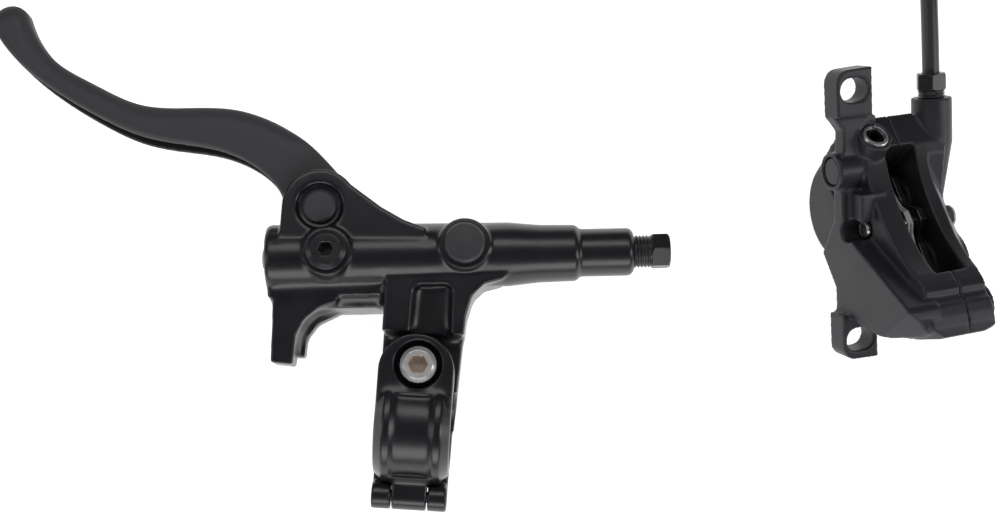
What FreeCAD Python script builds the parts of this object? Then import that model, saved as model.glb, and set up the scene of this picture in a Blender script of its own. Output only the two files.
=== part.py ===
import FreeCAD, Part
import math
import os
import re
import Sketcher

V = FreeCAD.Vector
doc = FreeCAD.newDocument("hydraulic_disc_brake")
sheet = doc.addObject("Spreadsheet::Sheet", "sizes")

# Driving dimensions in millimetres and degrees, each written once
SIZES = {
    # Handlebar clamp of the lever
    "bar_radius": 11.1,
    "clamp_wall": 5.0,
    "clamp_width": 22.0,
    "clamp_bevel": 2.8,
    "split_gap": 1.6,
    "clamp_bolt_along": 17.8,
    "clamp_bolt_radius": 3.0,
    "clamp_head_radius": 5.3,
    "clamp_head_height": 5.0,
    "clamp_socket": 5.0,
    "clamp_sink_radius": 7.0,
    "lug_top": 12.4,
    "lug_seat": 7.6,
    "hinge_along": 19.8,
    "hinge_pin_radius": 1.6,
    "knuckle_radius": 4.0,
    "knuckle_half": 5.0,
    "knuckle_gap": 0.35,
    # Master cylinder barrel, turned from the bar's direction
    "barrel_turn": 4.8,
    "barrel_back": 47.06,
    "barrel_rise": 47.33,
    "barrel_length": 92.8,
    "barrel_radius": 10.3,
    "barrel_body": 78.0,
    "neck_radius": 8.5,
    "nose_radius": 7.2,
    "nose_length": 16.5,
    "piston_radius": 5.0,
    "bore_start": 29.0,
    "port_radius": 4.5,
    "fit_gap": 0.05,
    # Pivot, blade and arm
    "pivot_along": 16.4,
    "pivot_rise": 14.3,
    "pivot_pin_radius": 3.0,
    "pivot_cap_radius": 4.8,
    "pivot_recess_radius": 6.8,
    "bush_radius": 4.2,
    "blade_thick": 10.0,
    "blade_length": 103.0,
    "blade_web": 3.2,
    "blade_wall": 2.2,
    "blade_edge": 1.2,
    "boss_radius": 9.4,
    "ear_thick": 3.7,
    "ear_gap": 0.3,
    "ear_radius": 11.2,
    "ear_bevel": 1.5,
    "arm_half": 3.4,
    "arm_thick": 8.0,
    "lever_turn": 22.0,
    "rod_radius": 2.2,
    "rod_gap": 0.3,
    # Perch, leg and reservoir
    "perch_width": 24.0,
    "perch_front": 7.4,
    "perch_back": 12.0,
    "leg_bottom": 16.4,
    "leg_width": 6.6,
    "parting_height": 30.0,
    "chamber_low": 15.4,
    "reservoir_radius": 5.4,
    "reservoir_drop": 9.3,
    "reservoir_deep": 7.6,
    "bleed_along": 18.6,
    "plug_along": 59.0,
    "bleed_head_radius": 6.0,
    "plug_head_radius": 6.0,
    "boss_ring": 7.6,
    "screw_radius": 2.5,
    "nut_flats": 9.6,
    "nut_length": 5.4,
    "nut_thread": 4.4,
    "nut_grip": 4.5,
    # Caliper body
    "window_long": 20.5,
    "window_half": 5.1,
    "body_deep": 28.5,
    "body_up": 30.5,
    "body_down": 38.8,
    "core_side": 13.2,
    "cheek_side": 19.0,
    "in_side": 15.5,
    "rim_out": 11.4,
    "rim_in": 9.0,
    "rim_dip": 4.2,
    "shelf_deep": 13.4,
    "shelf_lean": 26.1,
    "low_bolt": 6.5,
    "high_bolt": 4.6,
    "bolt_deep": 14.5,
    "rotor_half": 1.9,
    "rotor_top": 8.0,
    "cylinder_along": 10.6,
    "cylinder_deep": 18.5,
    "caliper_piston": 7.5,
    "housing_radius": 16.2,
    "out_housing": 16.4,
    "cup_depth": 9.0,
    "axle_along": 1.0,
    "axle_deep": 12.5,
    "axle_radius": 1.6,
    "backing_thick": 2.0,
    "lining_thick": 2.0,
    "pad_play": 0.1,
    "seal_wide": 1.6,
    "seal_thick": 2.0,
    "pad_half": 19.8,
    "pad_top": 13.0,
    "pad_low": 27.6,
    "pad_tab": 5.4,
    "bolt_radius": 3.0,
    "axle_head": 13.6,
    "nipple_side": 8.6,
    "nipple_along": 23.1,
    "nipple_face": 3.3,
    "nipple_tilt": 11.0,
    "nipple_boss": 5.3,
    "passage_side": 20.5,
    "passage_along": 18.2,
    "passage_deep": 6.8,
    "passage_boss": 5.6,
    # Caliper mounting ears and hose joint
    "mount_spacing": 74.0,
    "ear_side": 15.5,
    "ear_width": 11.6,
    "ear_plate": 7.5,
    "ear_end": 6.0,
    "ear_round": 4.0,
    "slot_width": 7.0,
    "slot_length": 9.4,
    "hose_side": 15.5,
    "hose_back": 7.3,
    "hose_boss": 5.9,
    "hose_boss_top": 31.2,
    "hose_thread": 3.6,
    "hose_nut_flats": 8.0,
    "hose_nut_base": 33.4,
    "hose_nut_length": 5.0,
    "hose_radius": 2.5,
    # Attitude of the caliper as it lies beside the lever
    "caliper_yaw": 8.4,
    "caliper_pitch": 21.2,
    "caliper_roll": 17.3,
    "caliper_lean": 35.5,
    "window_offset": 2.3,
    "window_height": 10.0,
    "caliper_lift": 25.5,
}
for row, (alias, value) in enumerate(SIZES.items(), start=1):
    sheet.set("A%d" % row, alias)
    sheet.set("B%d" % row, str(value))
    sheet.setAlias("B%d" % row, alias)
doc.recompute()

WORDS = re.compile(r"[a-z][a-z_]*")


def bound(text):
    """The formula with each name of a size pointing at its cell."""
    return WORDS.sub(lambda m: "sizes." + m.group() if m.group() in SIZES else m.group(), str(text))


def value(text):
    """The number that a formula of sizes gives now."""
    return float(sheet.evalExpression(bound(text)))


def bind(item, **formulas):
    for prop, text in formulas.items():
        item.setExpression(prop, bound(text))
    return item


AXES = {
    "Z": FreeCAD.Rotation(),
    "X": FreeCAD.Rotation(V(0, 1, 0), 90),
    "Y": FreeCAD.Rotation(V(1, 0, 0), -90),
}


def locate(item, at, axis="Z"):
    item.Placement = FreeCAD.Placement(V(), AXES[axis])
    for letter, text in zip("xyz", at):
        item.setExpression("Placement.Base." + letter, bound(text))
    return item


def box(name, spans):
    """A block between two places on each axis, given as pairs of formulas."""
    item = doc.addObject("Part::Box", name)
    (x0, x1), (y0, y1), (z0, z1) = spans
    bind(item, Length="(%s) - (%s)" % (x1, x0), Width="(%s) - (%s)" % (y1, y0),
         Height="(%s) - (%s)" % (z1, z0))
    return locate(item, (x0, y0, z0))


def rod(name, radius, start, length, axis="Z"):
    item = doc.addObject("Part::Cylinder", name)
    bind(item, Radius=radius, Height=length)
    return locate(item, start, axis)


def taper(name, radius, far_radius, start, length, axis="Z"):
    item = doc.addObject("Part::Cone", name)
    bind(item, Radius1=radius, Radius2=far_radius, Height=length)
    return locate(item, start, axis)


def hexagon(name, flats, start, length, axis="Z"):
    item = doc.addObject("Part::Prism", name)
    item.Polygon = 6
    bind(item, Circumradius="(%s) / sqrt(3)" % flats, Height=length)
    return locate(item, start, axis)


def outline(body, name, role, points):
    """A closed sketch on one of the body's origin planes, each corner bound to two formulas."""
    plane = [f for f in body.Origin.OriginFeatures if f.Role == role][0]
    sketch = body.newObject("Sketcher::SketchObject", name)
    sketch.AttachmentSupport = (plane, [""])
    sketch.MapMode = "FlatFace"
    corners = [V(value(x), value(y), 0) for x, y in points]
    count = len(corners)
    for i in range(count):
        sketch.addGeometry(Part.LineSegment(corners[i], corners[(i + 1) % count]), False)
    for i in range(count):
        sketch.addConstraint(Sketcher.Constraint("Coincident", i, 2, (i + 1) % count, 1))
    for i, (x, y) in enumerate(points):
        across = sketch.addConstraint(Sketcher.Constraint("DistanceX", -1, 1, i, 1, corners[i].x))
        sketch.setExpression("Constraints[%d]" % across, bound(x))
        along = sketch.addConstraint(Sketcher.Constraint("DistanceY", -1, 1, i, 1, corners[i].y))
        sketch.setExpression("Constraints[%d]" % along, bound(y))
    return sketch


def plate(name, points, low, high, role="XY_Plane"):
    """A body padded from an outline, from one height to another along the plane's normal."""
    body = doc.addObject("PartDesign::Body", name)
    sketch = outline(body, name + "_outline", role, points)
    sketch.setExpression("AttachmentOffset.Base.z", bound(low))
    pad = body.newObject("PartDesign::Pad", name + "_pad")
    pad.Profile = sketch
    bind(pad, Length="(%s) - (%s)" % (high, low))
    sketch.Visibility = False
    return body


def turned(name, profile, frame=None):
    """A body turned about its Z axis from (radius, height) corners."""
    body = doc.addObject("PartDesign::Body", name)
    sketch = outline(body, name + "_profile", "XZ_Plane", profile)
    spin = body.newObject("PartDesign::Revolution", name + "_turn")
    spin.Profile = sketch
    spin.ReferenceAxis = (sketch, ["V_Axis"])
    spin.Angle = 360
    sketch.Visibility = False
    if frame:
        body.Placement = frame
    return body


def at(x, y, z, axis="Z"):
    """A placement from three formulas, with the piece's Z axis along the named axis."""
    return FreeCAD.Placement(V(value(x), value(y), value(z)), AXES[axis])


def fuse(name, *items):
    item = doc.addObject("Part::MultiFuse", name)
    item.Shapes = list(items)
    item.Refine = True
    return item


def group(name, *items):
    item = doc.addObject("Part::Compound", name)
    item.Links = list(items)
    return item


def moved(name, item, place):
    """The item in a holder of its own, put at a place or turned."""
    holder = group(name, item)
    holder.Placement = place
    return holder


def cut(name, base, *tools):
    item = doc.addObject("Part::Cut", name)
    item.Base = base
    item.Tool = tools[0] if len(tools) == 1 else fuse(name + "_tools", *tools)
    item.Refine = True
    return item


def common(name, *items):
    item = doc.addObject("Part::MultiCommon", name)
    item.Shapes = list(items)
    item.Refine = True
    return item


# Frames: the lever stands on its clamp, the barrel lies turned in it, the caliper leans beside it
lever_frame = FreeCAD.Placement(V(-22.2, -51.5, value("bar_radius + clamp_wall")), FreeCAD.Rotation())
barrel_frame = FreeCAD.Placement(
    V(-value("barrel_back"), value("barrel_rise"), 0),
    FreeCAD.Rotation(V(0, 0, 1), value("barrel_turn")))
on_barrel = lever_frame.multiply(barrel_frame)
caliper_frame = FreeCAD.Placement(
    V(118.0, 20.8, value("caliper_lift")),
    FreeCAD.Rotation(V(0, 0, 1), value("caliper_yaw"))
    .multiply(FreeCAD.Rotation(V(1, 0, 0), value("caliper_pitch")))
    .multiply(FreeCAD.Rotation(V(0, 1, 0), value("caliper_roll"))))
body_frame = FreeCAD.Placement(
    V(0, value("window_offset"), value("window_height")),
    FreeCAD.Rotation(V(1, 0, 0), -value("caliper_lean")))
on_body = caliper_frame.multiply(body_frame)

nodes = {}


def node(name, item, frame):
    """Give a finished piece its name and its place in the set."""
    item.Label = name
    item.Placement = frame.multiply(item.Placement)
    nodes[name] = item


# Lever body: barrel with its nose, perch, leg, reservoir chamber, pivot ears and rear clamp half
barrel = turned("barrel_casting", [
    ("0", "0"), ("barrel_radius - 0.8", "0"), ("barrel_radius", "1.2"),
    ("barrel_radius - 0.7", "barrel_body - 6"), ("neck_radius + 0.2", "barrel_body + 3"),
    ("neck_radius", "barrel_length - 1"), ("neck_radius - 0.7", "barrel_length"),
    ("nose_radius", "barrel_length"), ("nose_radius", "barrel_length + nose_length - 1.2"),
    ("nose_radius - 1.2", "barrel_length + nose_length"), ("0", "barrel_length + nose_length")])
barrel.Placement = FreeCAD.Placement(V(), AXES["X"])
bleed_seat = taper("bleed_seat", "boss_ring + 0.8", "boss_ring - 0.4",
                   ("bleed_along", "0.6", "barrel_radius - 4"), "4.2")
plug_seat = taper("plug_seat", "boss_ring + 0.6", "boss_ring",
                  ("plug_along", "1.9", "barrel_radius - 5"), "5")
chamber = plate("reservoir_chamber", [
    ("1.2", "0"), ("1.2", "-chamber_low + 2"), ("12", "-chamber_low"),
    ("47", "-chamber_low"), ("47", "0")],
    "-clamp_wall - bar_radius", "2")
shelf = plate("chamber_shelf", [
    ("0.4", "0"), ("0.4", "-12"), ("42", "-12"), ("47", "-16"), ("47", "0")], "-7", "4.5")
barrel_group = fuse("barrel_group", barrel, bleed_seat, plug_seat, chamber, shelf)
barrel_group.Placement = barrel_frame

leg = plate("brace_leg_front", [
    ("-44.9", "46"), ("-43.6", "27"), ("-43.2", "leg_bottom"), ("-43.2 + leg_width", "leg_bottom - 0.3"),
    ("-43.0 + leg_width", "25"), ("-34.4", "29.6"), ("-30.5", "33.2"), ("-25", "35.5"), ("-25", "46")],
    "-6", "4.4")
leg_back = plate("brace_leg_back", [
    ("-43.6", "46"), ("-42.8", "26"), ("-42.4", "leg_bottom + 3"), ("-41.2 + leg_width", "leg_bottom + 2.8"),
    ("-41.0 + leg_width", "25"), ("-31.5", "29.5"), ("-25", "33.2"), ("-25", "46")],
    "-12", "-5.9")
perch = plate("perch", [
    ("1 - perch_width / 2", "27.2"), ("1 - perch_width / 2", "48"), ("1 + perch_width / 2 + 16", "50"),
    ("1 + perch_width / 2 + 10", "44.6"), ("1 + perch_width / 2 + 5", "43"), ("1 + perch_width / 2 + 1.8", "39.5"),
    ("1 + perch_width / 2 + 0.3", "33"), ("1 + perch_width / 2", "27.2")],
    "-perch_back", "perch_front")
saddle = plate("perch_saddle", [
    ("1 - perch_width / 2", "0"), ("1 - perch_width / 2", "29"), ("1 + perch_width / 2 - 0.2", "29"),
    ("1 + perch_width / 2 - 1.5", "0")], "-perch_back", "-split_gap / 2")
clamp_ring = turned("clamp_ring", [
    ("bar_radius - 1", "-clamp_width / 2"), ("bar_radius + clamp_wall - 0.8", "-clamp_width / 2"),
    ("bar_radius + clamp_wall", "-clamp_width / 2 + 0.8"), ("bar_radius + clamp_wall", "clamp_width / 2 - 0.8"),
    ("bar_radius + clamp_wall - 0.8", "clamp_width / 2"), ("bar_radius - 1", "clamp_width / 2")])
clamp_ring.Placement = FreeCAD.Placement(V(), AXES["X"])
below_split = box("below_split", (("-20", "20"), ("-40", "40"), ("-40", "-split_gap / 2")))
rear_half = common("rear_half", clamp_ring, below_split)
knuckles = []
for side, low in (("left", "-clamp_width / 2"), ("right", "knuckle_half + knuckle_gap")):
    wide = "clamp_width / 2 - knuckle_half - knuckle_gap"
    knuckles.append(rod(side + "_knuckle", "knuckle_radius", (low, "-hinge_along", "0"), wide, "X"))
    knuckles.append(box(side + "_knuckle_root", ((low, "%s + %s" % (low, wide)),
                                                 ("-hinge_along", "-bar_radius - 2"), ("-knuckle_radius", "-0.8"))))

pivot_x = "pivot_along * cos(barrel_turn) - pivot_rise * sin(barrel_turn) - barrel_back"
pivot_y = "pivot_along * sin(barrel_turn) + pivot_rise * cos(barrel_turn) + barrel_rise"
ear_low = "blade_thick / 2 + ear_gap"
ear_high = "blade_thick / 2 + ear_gap + ear_thick"
ears = []
for side, low, high in (("front", ear_low, ear_high), ("back", "-(%s)" % ear_high, "-(%s)" % ear_low)):
    foot = plate(side + "_ear", [
        ("-ear_radius", "2 - ear_radius"), ("-ear_radius", "0"), ("-ear_radius * 0.94", "ear_radius * 0.34"),
        ("0", "ear_radius * 0.6"), ("ear_radius * 0.77", "ear_radius * 0.64"), ("18", "1"), ("25", "-2.5"),
        ("32", "-4.6"), ("32", "-12"), ("-ear_radius - 1", "-12")], low, high)
    crown = rod(side + "_ear_crown", "ear_radius", ("0", "0", low), "ear_thick")
    ears.append(fuse(side + "_ear_blank", foot, crown))
for ear in ears:
    ear.Placement = FreeCAD.Placement(V(value(pivot_x), value(pivot_y), 0), FreeCAD.Rotation())

casting = fuse("lever_casting", barrel_group, leg, leg_back, perch, saddle, rear_half, *knuckles, *ears)

# What is bored and milled out of the casting
master_bore = rod("master_bore", "piston_radius + fit_gap", ("bore_start", "0", "0"), "barrel_length - bore_start", "X")
port_bore = rod("port_bore", "nut_thread + fit_gap", ("barrel_length - 1", "0", "0"), "nose_length + 3", "X")
cap_bore = rod("cap_bore", "4.2", ("-1", "0", "0"), "8", "X")
bleed_bore = rod("bleed_bore", "screw_radius + fit_gap", ("bleed_along", "0.6", "blade_thick / 2"), "12")
plug_bore = rod("plug_bore", "4.6", ("plug_along", "1.9", "piston_radius - 1"), "12")
tank = rod("tank", "reservoir_radius", ("-1", "-reservoir_drop", "-reservoir_deep"), "40", "X")
blade_pocket = rod("blade_pocket", "boss_radius + 0.9",
                   ("pivot_along", "pivot_rise", "-blade_thick / 2 - ear_gap"), "blade_thick + 2 * ear_gap")
arm_pocket = box("arm_pocket", (("pivot_along - arm_half - 3.2", "bore_start - 0.5"), ("-5.2", "8"),
                                ("-arm_thick / 2 - 0.4", "arm_thick / 2 + 0.4")))
rod_pocket = rod("rod_pocket", "rod_radius + 0.9", ("bore_start - 2", "0", "0"), "4", "X")
barrel_cuts = fuse("barrel_cuts", master_bore, port_bore, cap_bore, bleed_bore, plug_bore, tank,
                   blade_pocket, arm_pocket, rod_pocket)
barrel_cuts.Placement = barrel_frame
bar_bore = rod("bar_bore", "bar_radius", ("-20", "0", "0"), "40", "X")
hinge_bore = rod("hinge_bore", "hinge_pin_radius + fit_gap", ("-20", "-hinge_along", "0"), "40", "X")
hinge_room = rod("hinge_room", "knuckle_radius + 0.4", ("-knuckle_half - knuckle_gap", "-hinge_along", "0"),
                 "2 * (knuckle_half + knuckle_gap)", "X")
bolt_bore = rod("bolt_bore", "clamp_bolt_radius + fit_gap", ("0.5", "clamp_bolt_along", "-perch_back - 1"), "14")
perch_recess = plate("perch_recess", [
    ("-3.2", "20"), ("-2.6", "40"), ("-1.2", "41.6"), ("7.2", "42.2"), ("8.8", "40.6"), ("9.4", "20")],
    "perch_front - 3.4", "perch_front + 4")
pivot_hole = rod("pivot_hole", "pivot_pin_radius + fit_gap", (pivot_x, pivot_y, "-20"), "40")
pivot_recess = rod("pivot_recess", "pivot_recess_radius", (pivot_x, pivot_y, "%s - 1.5" % ear_high), "6")
clip_recess = rod("clip_recess", "pivot_recess_radius - 1", (pivot_x, pivot_y, "-(%s) - 5" % ear_high), "6.2")
band_room = box("band_room", (("-14", "16"), ("8", "clamp_bolt_along + 9.6"), ("-split_gap / 2", "30")))
finished = cut("lever_casting_finished", casting, barrel_cuts, bar_bore, hinge_bore, hinge_room, bolt_bore,
               perch_recess, pivot_hole, pivot_recess, clip_recess, band_room)

# The casting is kept as four nodes that meet on flat faces: its nose, its leg, its clamp half and the rest
nose_zone = box("nose_zone", (("barrel_length", "barrel_length + nose_length + 5"), ("-12", "12"), ("-12", "12")))
nose_zone = moved("nose_zone_turned", nose_zone, barrel_frame)
leg_zone = box("leg_zone", (("-60", "-14"), ("0", "parting_height"), ("-30", "30")))
clamp_zone = box("clamp_zone", (("-14", "40"), ("-40", "parting_height"), ("-30", "30")))
node("lever_body", cut("lever_body", finished, nose_zone, leg_zone, clamp_zone), lever_frame)
node("lever_nose", common("lever_nose", finished, nose_zone), lever_frame)
node("brace_leg", common("brace_leg", finished, leg_zone), lever_frame)
node("clamp_perch", common("clamp_perch", finished, clamp_zone), lever_frame)

# Clamp band: the hinged front half with its crowned outside, bolt lug and middle knuckle
band_ring = turned("band_ring", [
    ("bar_radius - 1", "-clamp_width / 2"), ("bar_radius + clamp_wall - clamp_bevel", "-clamp_width / 2"),
    ("bar_radius + clamp_wall", "-clamp_width / 2 + clamp_bevel"),
    ("bar_radius + clamp_wall", "clamp_width / 2 - clamp_bevel"),
    ("bar_radius + clamp_wall - clamp_bevel", "clamp_width / 2"), ("bar_radius - 1", "clamp_width / 2")])
band_ring.Placement = FreeCAD.Placement(V(), AXES["X"])
band_lug = box("band_lug", (("-clamp_width / 2", "clamp_width / 2"), ("4", "clamp_bolt_along + 12"), ("0", "lug_top")))
band_end = rod("band_end", "clamp_width / 2", ("0", "clamp_bolt_along - 2.1", "-2"), "40")
band_plan = box("band_plan", (("-clamp_width / 2", "clamp_width / 2"), ("-40", "clamp_bolt_along - 2.1"), ("-2", "38")))
above_split = box("above_split", (("-20", "20"), ("-40", "40"), ("split_gap / 2", "40")))
band_blank = common("band_blank", fuse("band_stock", band_ring, band_lug), fuse("band_shape", band_end, band_plan),
                    above_split)
middle_knuckle = rod("middle_knuckle", "knuckle_radius", ("-knuckle_half", "-hinge_along", "0"), "2 * knuckle_half", "X")
middle_root = box("middle_root", (("-knuckle_half", "knuckle_half"), ("-hinge_along", "-bar_radius - 1.4"), ("0", "4")))
groove_ring = turned("groove_ring", [
    ("bar_radius + clamp_wall - 1.3", "-5.6"), ("bar_radius + clamp_wall + 3", "-7.4"),
    ("bar_radius + clamp_wall + 3", "7.4"), ("bar_radius + clamp_wall - 1.3", "5.6")])
groove_ring.Placement = FreeCAD.Placement(V(), AXES["X"])
groove_reach = box("groove_reach", (("-10", "10"), ("-bar_radius - 3.4", "clamp_bolt_along - 8.6"), ("2", "30")))
band_groove = common("band_groove", groove_ring, groove_reach)
band_bore = rod("band_bore", "bar_radius", ("-20", "0", "0"), "40", "X")
band_pin_bore = rod("band_pin_bore", "hinge_pin_radius + fit_gap", ("-20", "-hinge_along", "0"), "40", "X")
band_bolt_bore = rod("band_bolt_bore", "clamp_bolt_radius + 0.3", ("0.5", "clamp_bolt_along", "-2"), "30")
band_sink = rod("band_sink", "clamp_sink_radius", ("0.5", "clamp_bolt_along", "lug_seat"), "30")
side_rooms = [rod("side_room_%d" % k, "knuckle_radius + 0.4", (start, "-hinge_along", "0"), "8", "X")
              for k, start in enumerate(("-8 - knuckle_half - 0.05", "knuckle_half + 0.05"))]
clamp_band = cut("clamp_band", fuse("band_solid", band_blank, middle_knuckle, middle_root),
                 band_groove, band_bore, band_pin_bore, band_bolt_bore, band_sink, *side_rooms)
node("clamp_band", clamp_band, lever_frame)

hinge_pin = rod("hinge_pin", "hinge_pin_radius", ("-clamp_width / 2 + 0.4", "-hinge_along", "0"), "clamp_width - 0.8", "X")
node("clamp_hinge_pin", group("clamp_hinge_pin", hinge_pin), lever_frame)

bolt_blank = turned("clamp_bolt_blank", [
    ("0", "-perch_back + 0.5"), ("clamp_bolt_radius - 0.6", "-perch_back + 0.5"), ("clamp_bolt_radius", "-perch_back + 1.2"),
    ("clamp_bolt_radius", "lug_seat"), ("clamp_head_radius", "lug_seat"),
    ("clamp_head_radius", "lug_seat + clamp_head_height - 1.2"),
    ("clamp_head_radius - 1.2", "lug_seat + clamp_head_height"), ("0", "lug_seat + clamp_head_height")])
bolt_socket = hexagon("clamp_bolt_socket", "clamp_socket", ("0", "0", "lug_seat + 1.6"), "clamp_head_height")
clamp_bolt = cut("clamp_bolt", bolt_blank, bolt_socket)
clamp_bolt.Placement = at("0.5", "clamp_bolt_along", "0")
node("clamp_bolt", clamp_bolt, lever_frame)

# Lever blade: a curved forged channel that opens toward the bar, with a pivot boss and a push arm
BLADE_TOP = [(0.913, 54.6), (0.868, 46.2), (0.815, 40.6), (0.705, 34.8), (0.555, 29.0), (0.418, 28.9),
             (0.283, 29.3), (0.166, 26.3), (0.06, 20.4), (-0.02, 13.2), (-0.07, 8.0)]
BLADE_LOW = [(0.994, 47.6), (0.92, 39.1), (0.803, 30.3), (0.656, 22.3), (0.545, 18.0), (0.428, 16.3),
             (0.322, 15.4), (0.214, 12.0), (0.15, 7.6), (0.105, 0.0)]
BLADE_TIP = (0.972, 57.4)


def edge_curve(points, drop=0.0):
    """A smooth edge through (share of the blade's length, height) points, lowered by drop."""
    reach = value("blade_length")
    curve = Part.BSplineCurve()
    curve.interpolate([V(-share * reach, rise - drop, 0) for share, rise in points])
    return curve.toShape()


def blade_shape():
    """The blade about its pivot axis: outline, rounded edges, channel, boss, arm and bores."""
    reach = value("blade_length")
    thick = value("blade_thick")
    top = edge_curve(BLADE_TOP)
    low = edge_curve(BLADE_LOW)
    tip = Part.Arc(low.Vertexes[0].Point, V(-BLADE_TIP[0] * reach, BLADE_TIP[1], 0), top.Vertexes[0].Point).toShape()
    heel = Part.Arc(top.Vertexes[-1].Point, V(value("boss_radius") * 0.7, -3, 0), low.Vertexes[-1].Point).toShape()
    face = Part.Face(Part.Wire([tip, top, heel, low]))
    solid = face.extrude(V(0, 0, thick))
    solid.translate(V(0, 0, -thick / 2))
    rims = [e for e in solid.Edges if abs(abs(e.CenterOfMass.z) - thick / 2) < 0.01]
    solid = solid.makeFillet(value("blade_edge"), rims)
    web = value("blade_web")
    wall = value("blade_wall")
    inner = edge_curve(BLADE_TOP[1:9], web)
    first = inner.Vertexes[0].Point
    last = inner.Vertexes[-1].Point
    lip = [last, V(last.x - 2, -6, 0), V(first.x - 16, -6, 0), V(first.x - 16, first.y - 14, 0), first]
    room = Part.Face(Part.Wire([inner] + [Part.LineSegment(a, b).toShape() for a, b in zip(lip, lip[1:])]))
    channel = room.extrude(V(0, 0, thick - 2 * wall))
    channel.translate(V(0, 0, wall - thick / 2))
    solid = solid.cut(channel)
    boss = Part.makeCylinder(value("boss_radius"), thick, V(0, 0, -thick / 2))
    return solid.fuse(boss).removeSplitter()


def arm_shape():
    """The push arm under the pivot, with its tapped hole for the reach screw."""
    half = value("arm_half")
    thick = value("arm_thick")
    rise = value("pivot_rise")
    arm = Part.makeBox(2 * half - 0.8, rise + 3.4, thick, V(-half, -rise - 3.4, -thick / 2))
    corners = [e for e in arm.Edges if abs(e.Vertexes[0].Z - e.Vertexes[-1].Z) > 1 and e.CenterOfMass.y < -rise]
    return arm.makeFillet(1.5, corners)


blade = doc.addObject("Part::Feature", "blade_forging")
blade.Shape = blade_shape()
arm = doc.addObject("Part::Feature", "push_arm")
arm.Shape = arm_shape()
arm.Placement = FreeCAD.Placement(V(), FreeCAD.Rotation(V(0, 0, 1), value("barrel_turn")))
blade_bore = rod("blade_bore", "bush_radius + fit_gap", ("0", "0", "-20"), "40")
reach_bore = rod("reach_bore", "1.5 + fit_gap", ("-10", "-pivot_rise", "0"), "20", "X")
reach_holder = group("reach_bore_turned", reach_bore)
reach_holder.Placement = FreeCAD.Placement(V(), FreeCAD.Rotation(V(0, 0, 1), value("barrel_turn")))
lever_blade = cut("lever_blade", fuse("blade_stock", blade, arm), blade_bore, reach_holder)
pivot_frame = lever_frame.multiply(at(pivot_x, pivot_y, "0"))
barrel_pivot = on_barrel.multiply(at("pivot_along", "pivot_rise", "0"))
node("lever_blade", lever_blade, pivot_frame)

bush_profile = [("pivot_pin_radius + fit_gap", "0.3"), ("bush_radius", "0.3"), ("bush_radius", "blade_thick / 2 + 0.02"),
                ("bush_radius + 1.2", "blade_thick / 2 + 0.02"), ("bush_radius + 1.2", "blade_thick / 2 + ear_gap - 0.05"),
                ("pivot_pin_radius + fit_gap", "blade_thick / 2 + ear_gap - 0.05")]
front_bush = turned("front_bush", bush_profile)
back_bush = turned("back_bush", bush_profile, FreeCAD.Placement(V(), FreeCAD.Rotation(V(1, 0, 0), 180)))
node("pivot_bushings", group("pivot_bushings", front_bush, back_bush), pivot_frame)

pin_low = "-(%s) + 0.9" % ear_high
pivot_pin = turned("pivot_pin", [
    ("0", pin_low), ("pivot_pin_radius - 0.4", pin_low), ("pivot_pin_radius", pin_low + " + 0.4"),
    ("pivot_pin_radius", "%s - 1.5" % ear_high), ("pivot_cap_radius", "%s - 1.5" % ear_high),
    ("pivot_cap_radius", "%s - 0.1" % ear_high), ("pivot_cap_radius - 0.7", "%s + 0.4" % ear_high),
    ("0", "%s + 0.5" % ear_high)])
node("pivot_pin", pivot_pin, pivot_frame)

reach_screw = turned("reach_screw_blank", [
    ("0", "-arm_half - 1.6"), ("1.5", "-arm_half - 1.6"), ("1.5", "arm_half - 0.4"), ("1.1", "arm_half"), ("0", "arm_half")])
reach_socket = hexagon("reach_socket", "1.5", ("0", "0", "-arm_half - 2"), "2.4")
reach_screw = cut("reach_screw", reach_screw, reach_socket)
reach_screw.Placement = at("0", "-pivot_rise", "0", "X")
node("reach_screw", reach_screw, barrel_pivot)

# Master cylinder: rod, piston, two cups, spring, ring and end cap on the barrel axis
rod_start = "pivot_along + arm_half + rod_gap"
push_rod = turned("pushrod", [
    ("0", rod_start), ("rod_radius - 1.1", rod_start + " + 0.3"), ("rod_radius - 0.2", rod_start + " + 1.3"),
    ("rod_radius", rod_start + " + 2.2"), ("rod_radius", "bore_start + 4.5"), ("rod_radius - 1.2", "bore_start + 5.9"),
    ("0", "bore_start + 5.9")], FreeCAD.Placement(V(), AXES["X"]))
node("pushrod", push_rod, on_barrel)

piston_start = "bore_start + 3.2"
piston = turned("master_piston", [
    ("rod_radius + 0.1", piston_start), ("piston_radius", piston_start), ("piston_radius", piston_start + " + 3.5"),
    ("piston_radius - 1.9", piston_start + " + 3.5"), ("piston_radius - 1.9", piston_start + " + 6"),
    ("piston_radius", piston_start + " + 6"), ("piston_radius", piston_start + " + 8"),
    ("piston_radius - 1.4", piston_start + " + 8"), ("piston_radius - 1.4", piston_start + " + 20"),
    ("piston_radius", piston_start + " + 20"), ("piston_radius", piston_start + " + 22"),
    ("piston_radius - 1.9", piston_start + " + 22"), ("piston_radius - 1.9", piston_start + " + 24.5"),
    ("piston_radius - 0.2", piston_start + " + 24.5"), ("piston_radius - 0.2", piston_start + " + 25.5"),
    ("1.8", piston_start + " + 25.5"), ("1.8", piston_start + " + 29"), ("0", piston_start + " + 29"),
    ("0", "bore_start + 6"), ("rod_radius + 0.1", "bore_start + 6")], FreeCAD.Placement(V(), AXES["X"]))
node("master_piston", piston, on_barrel)


def cup(name, start):
    """A lip seal that sits in a groove of the piston and meets the bore with its flared lip."""
    low = "piston_radius - 1.88"
    return turned(name, [
        (low, start + " + 0.05"), ("piston_radius - 0.3", start + " + 0.05"), ("piston_radius", start + " + 1.6"),
        ("piston_radius", start + " + 2.4"), ("piston_radius - 0.7", start + " + 2.4"),
        (low + " + 0.5", start + " + 1.5"), (low, start + " + 1.5")], FreeCAD.Placement(V(), AXES["X"]))


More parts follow.
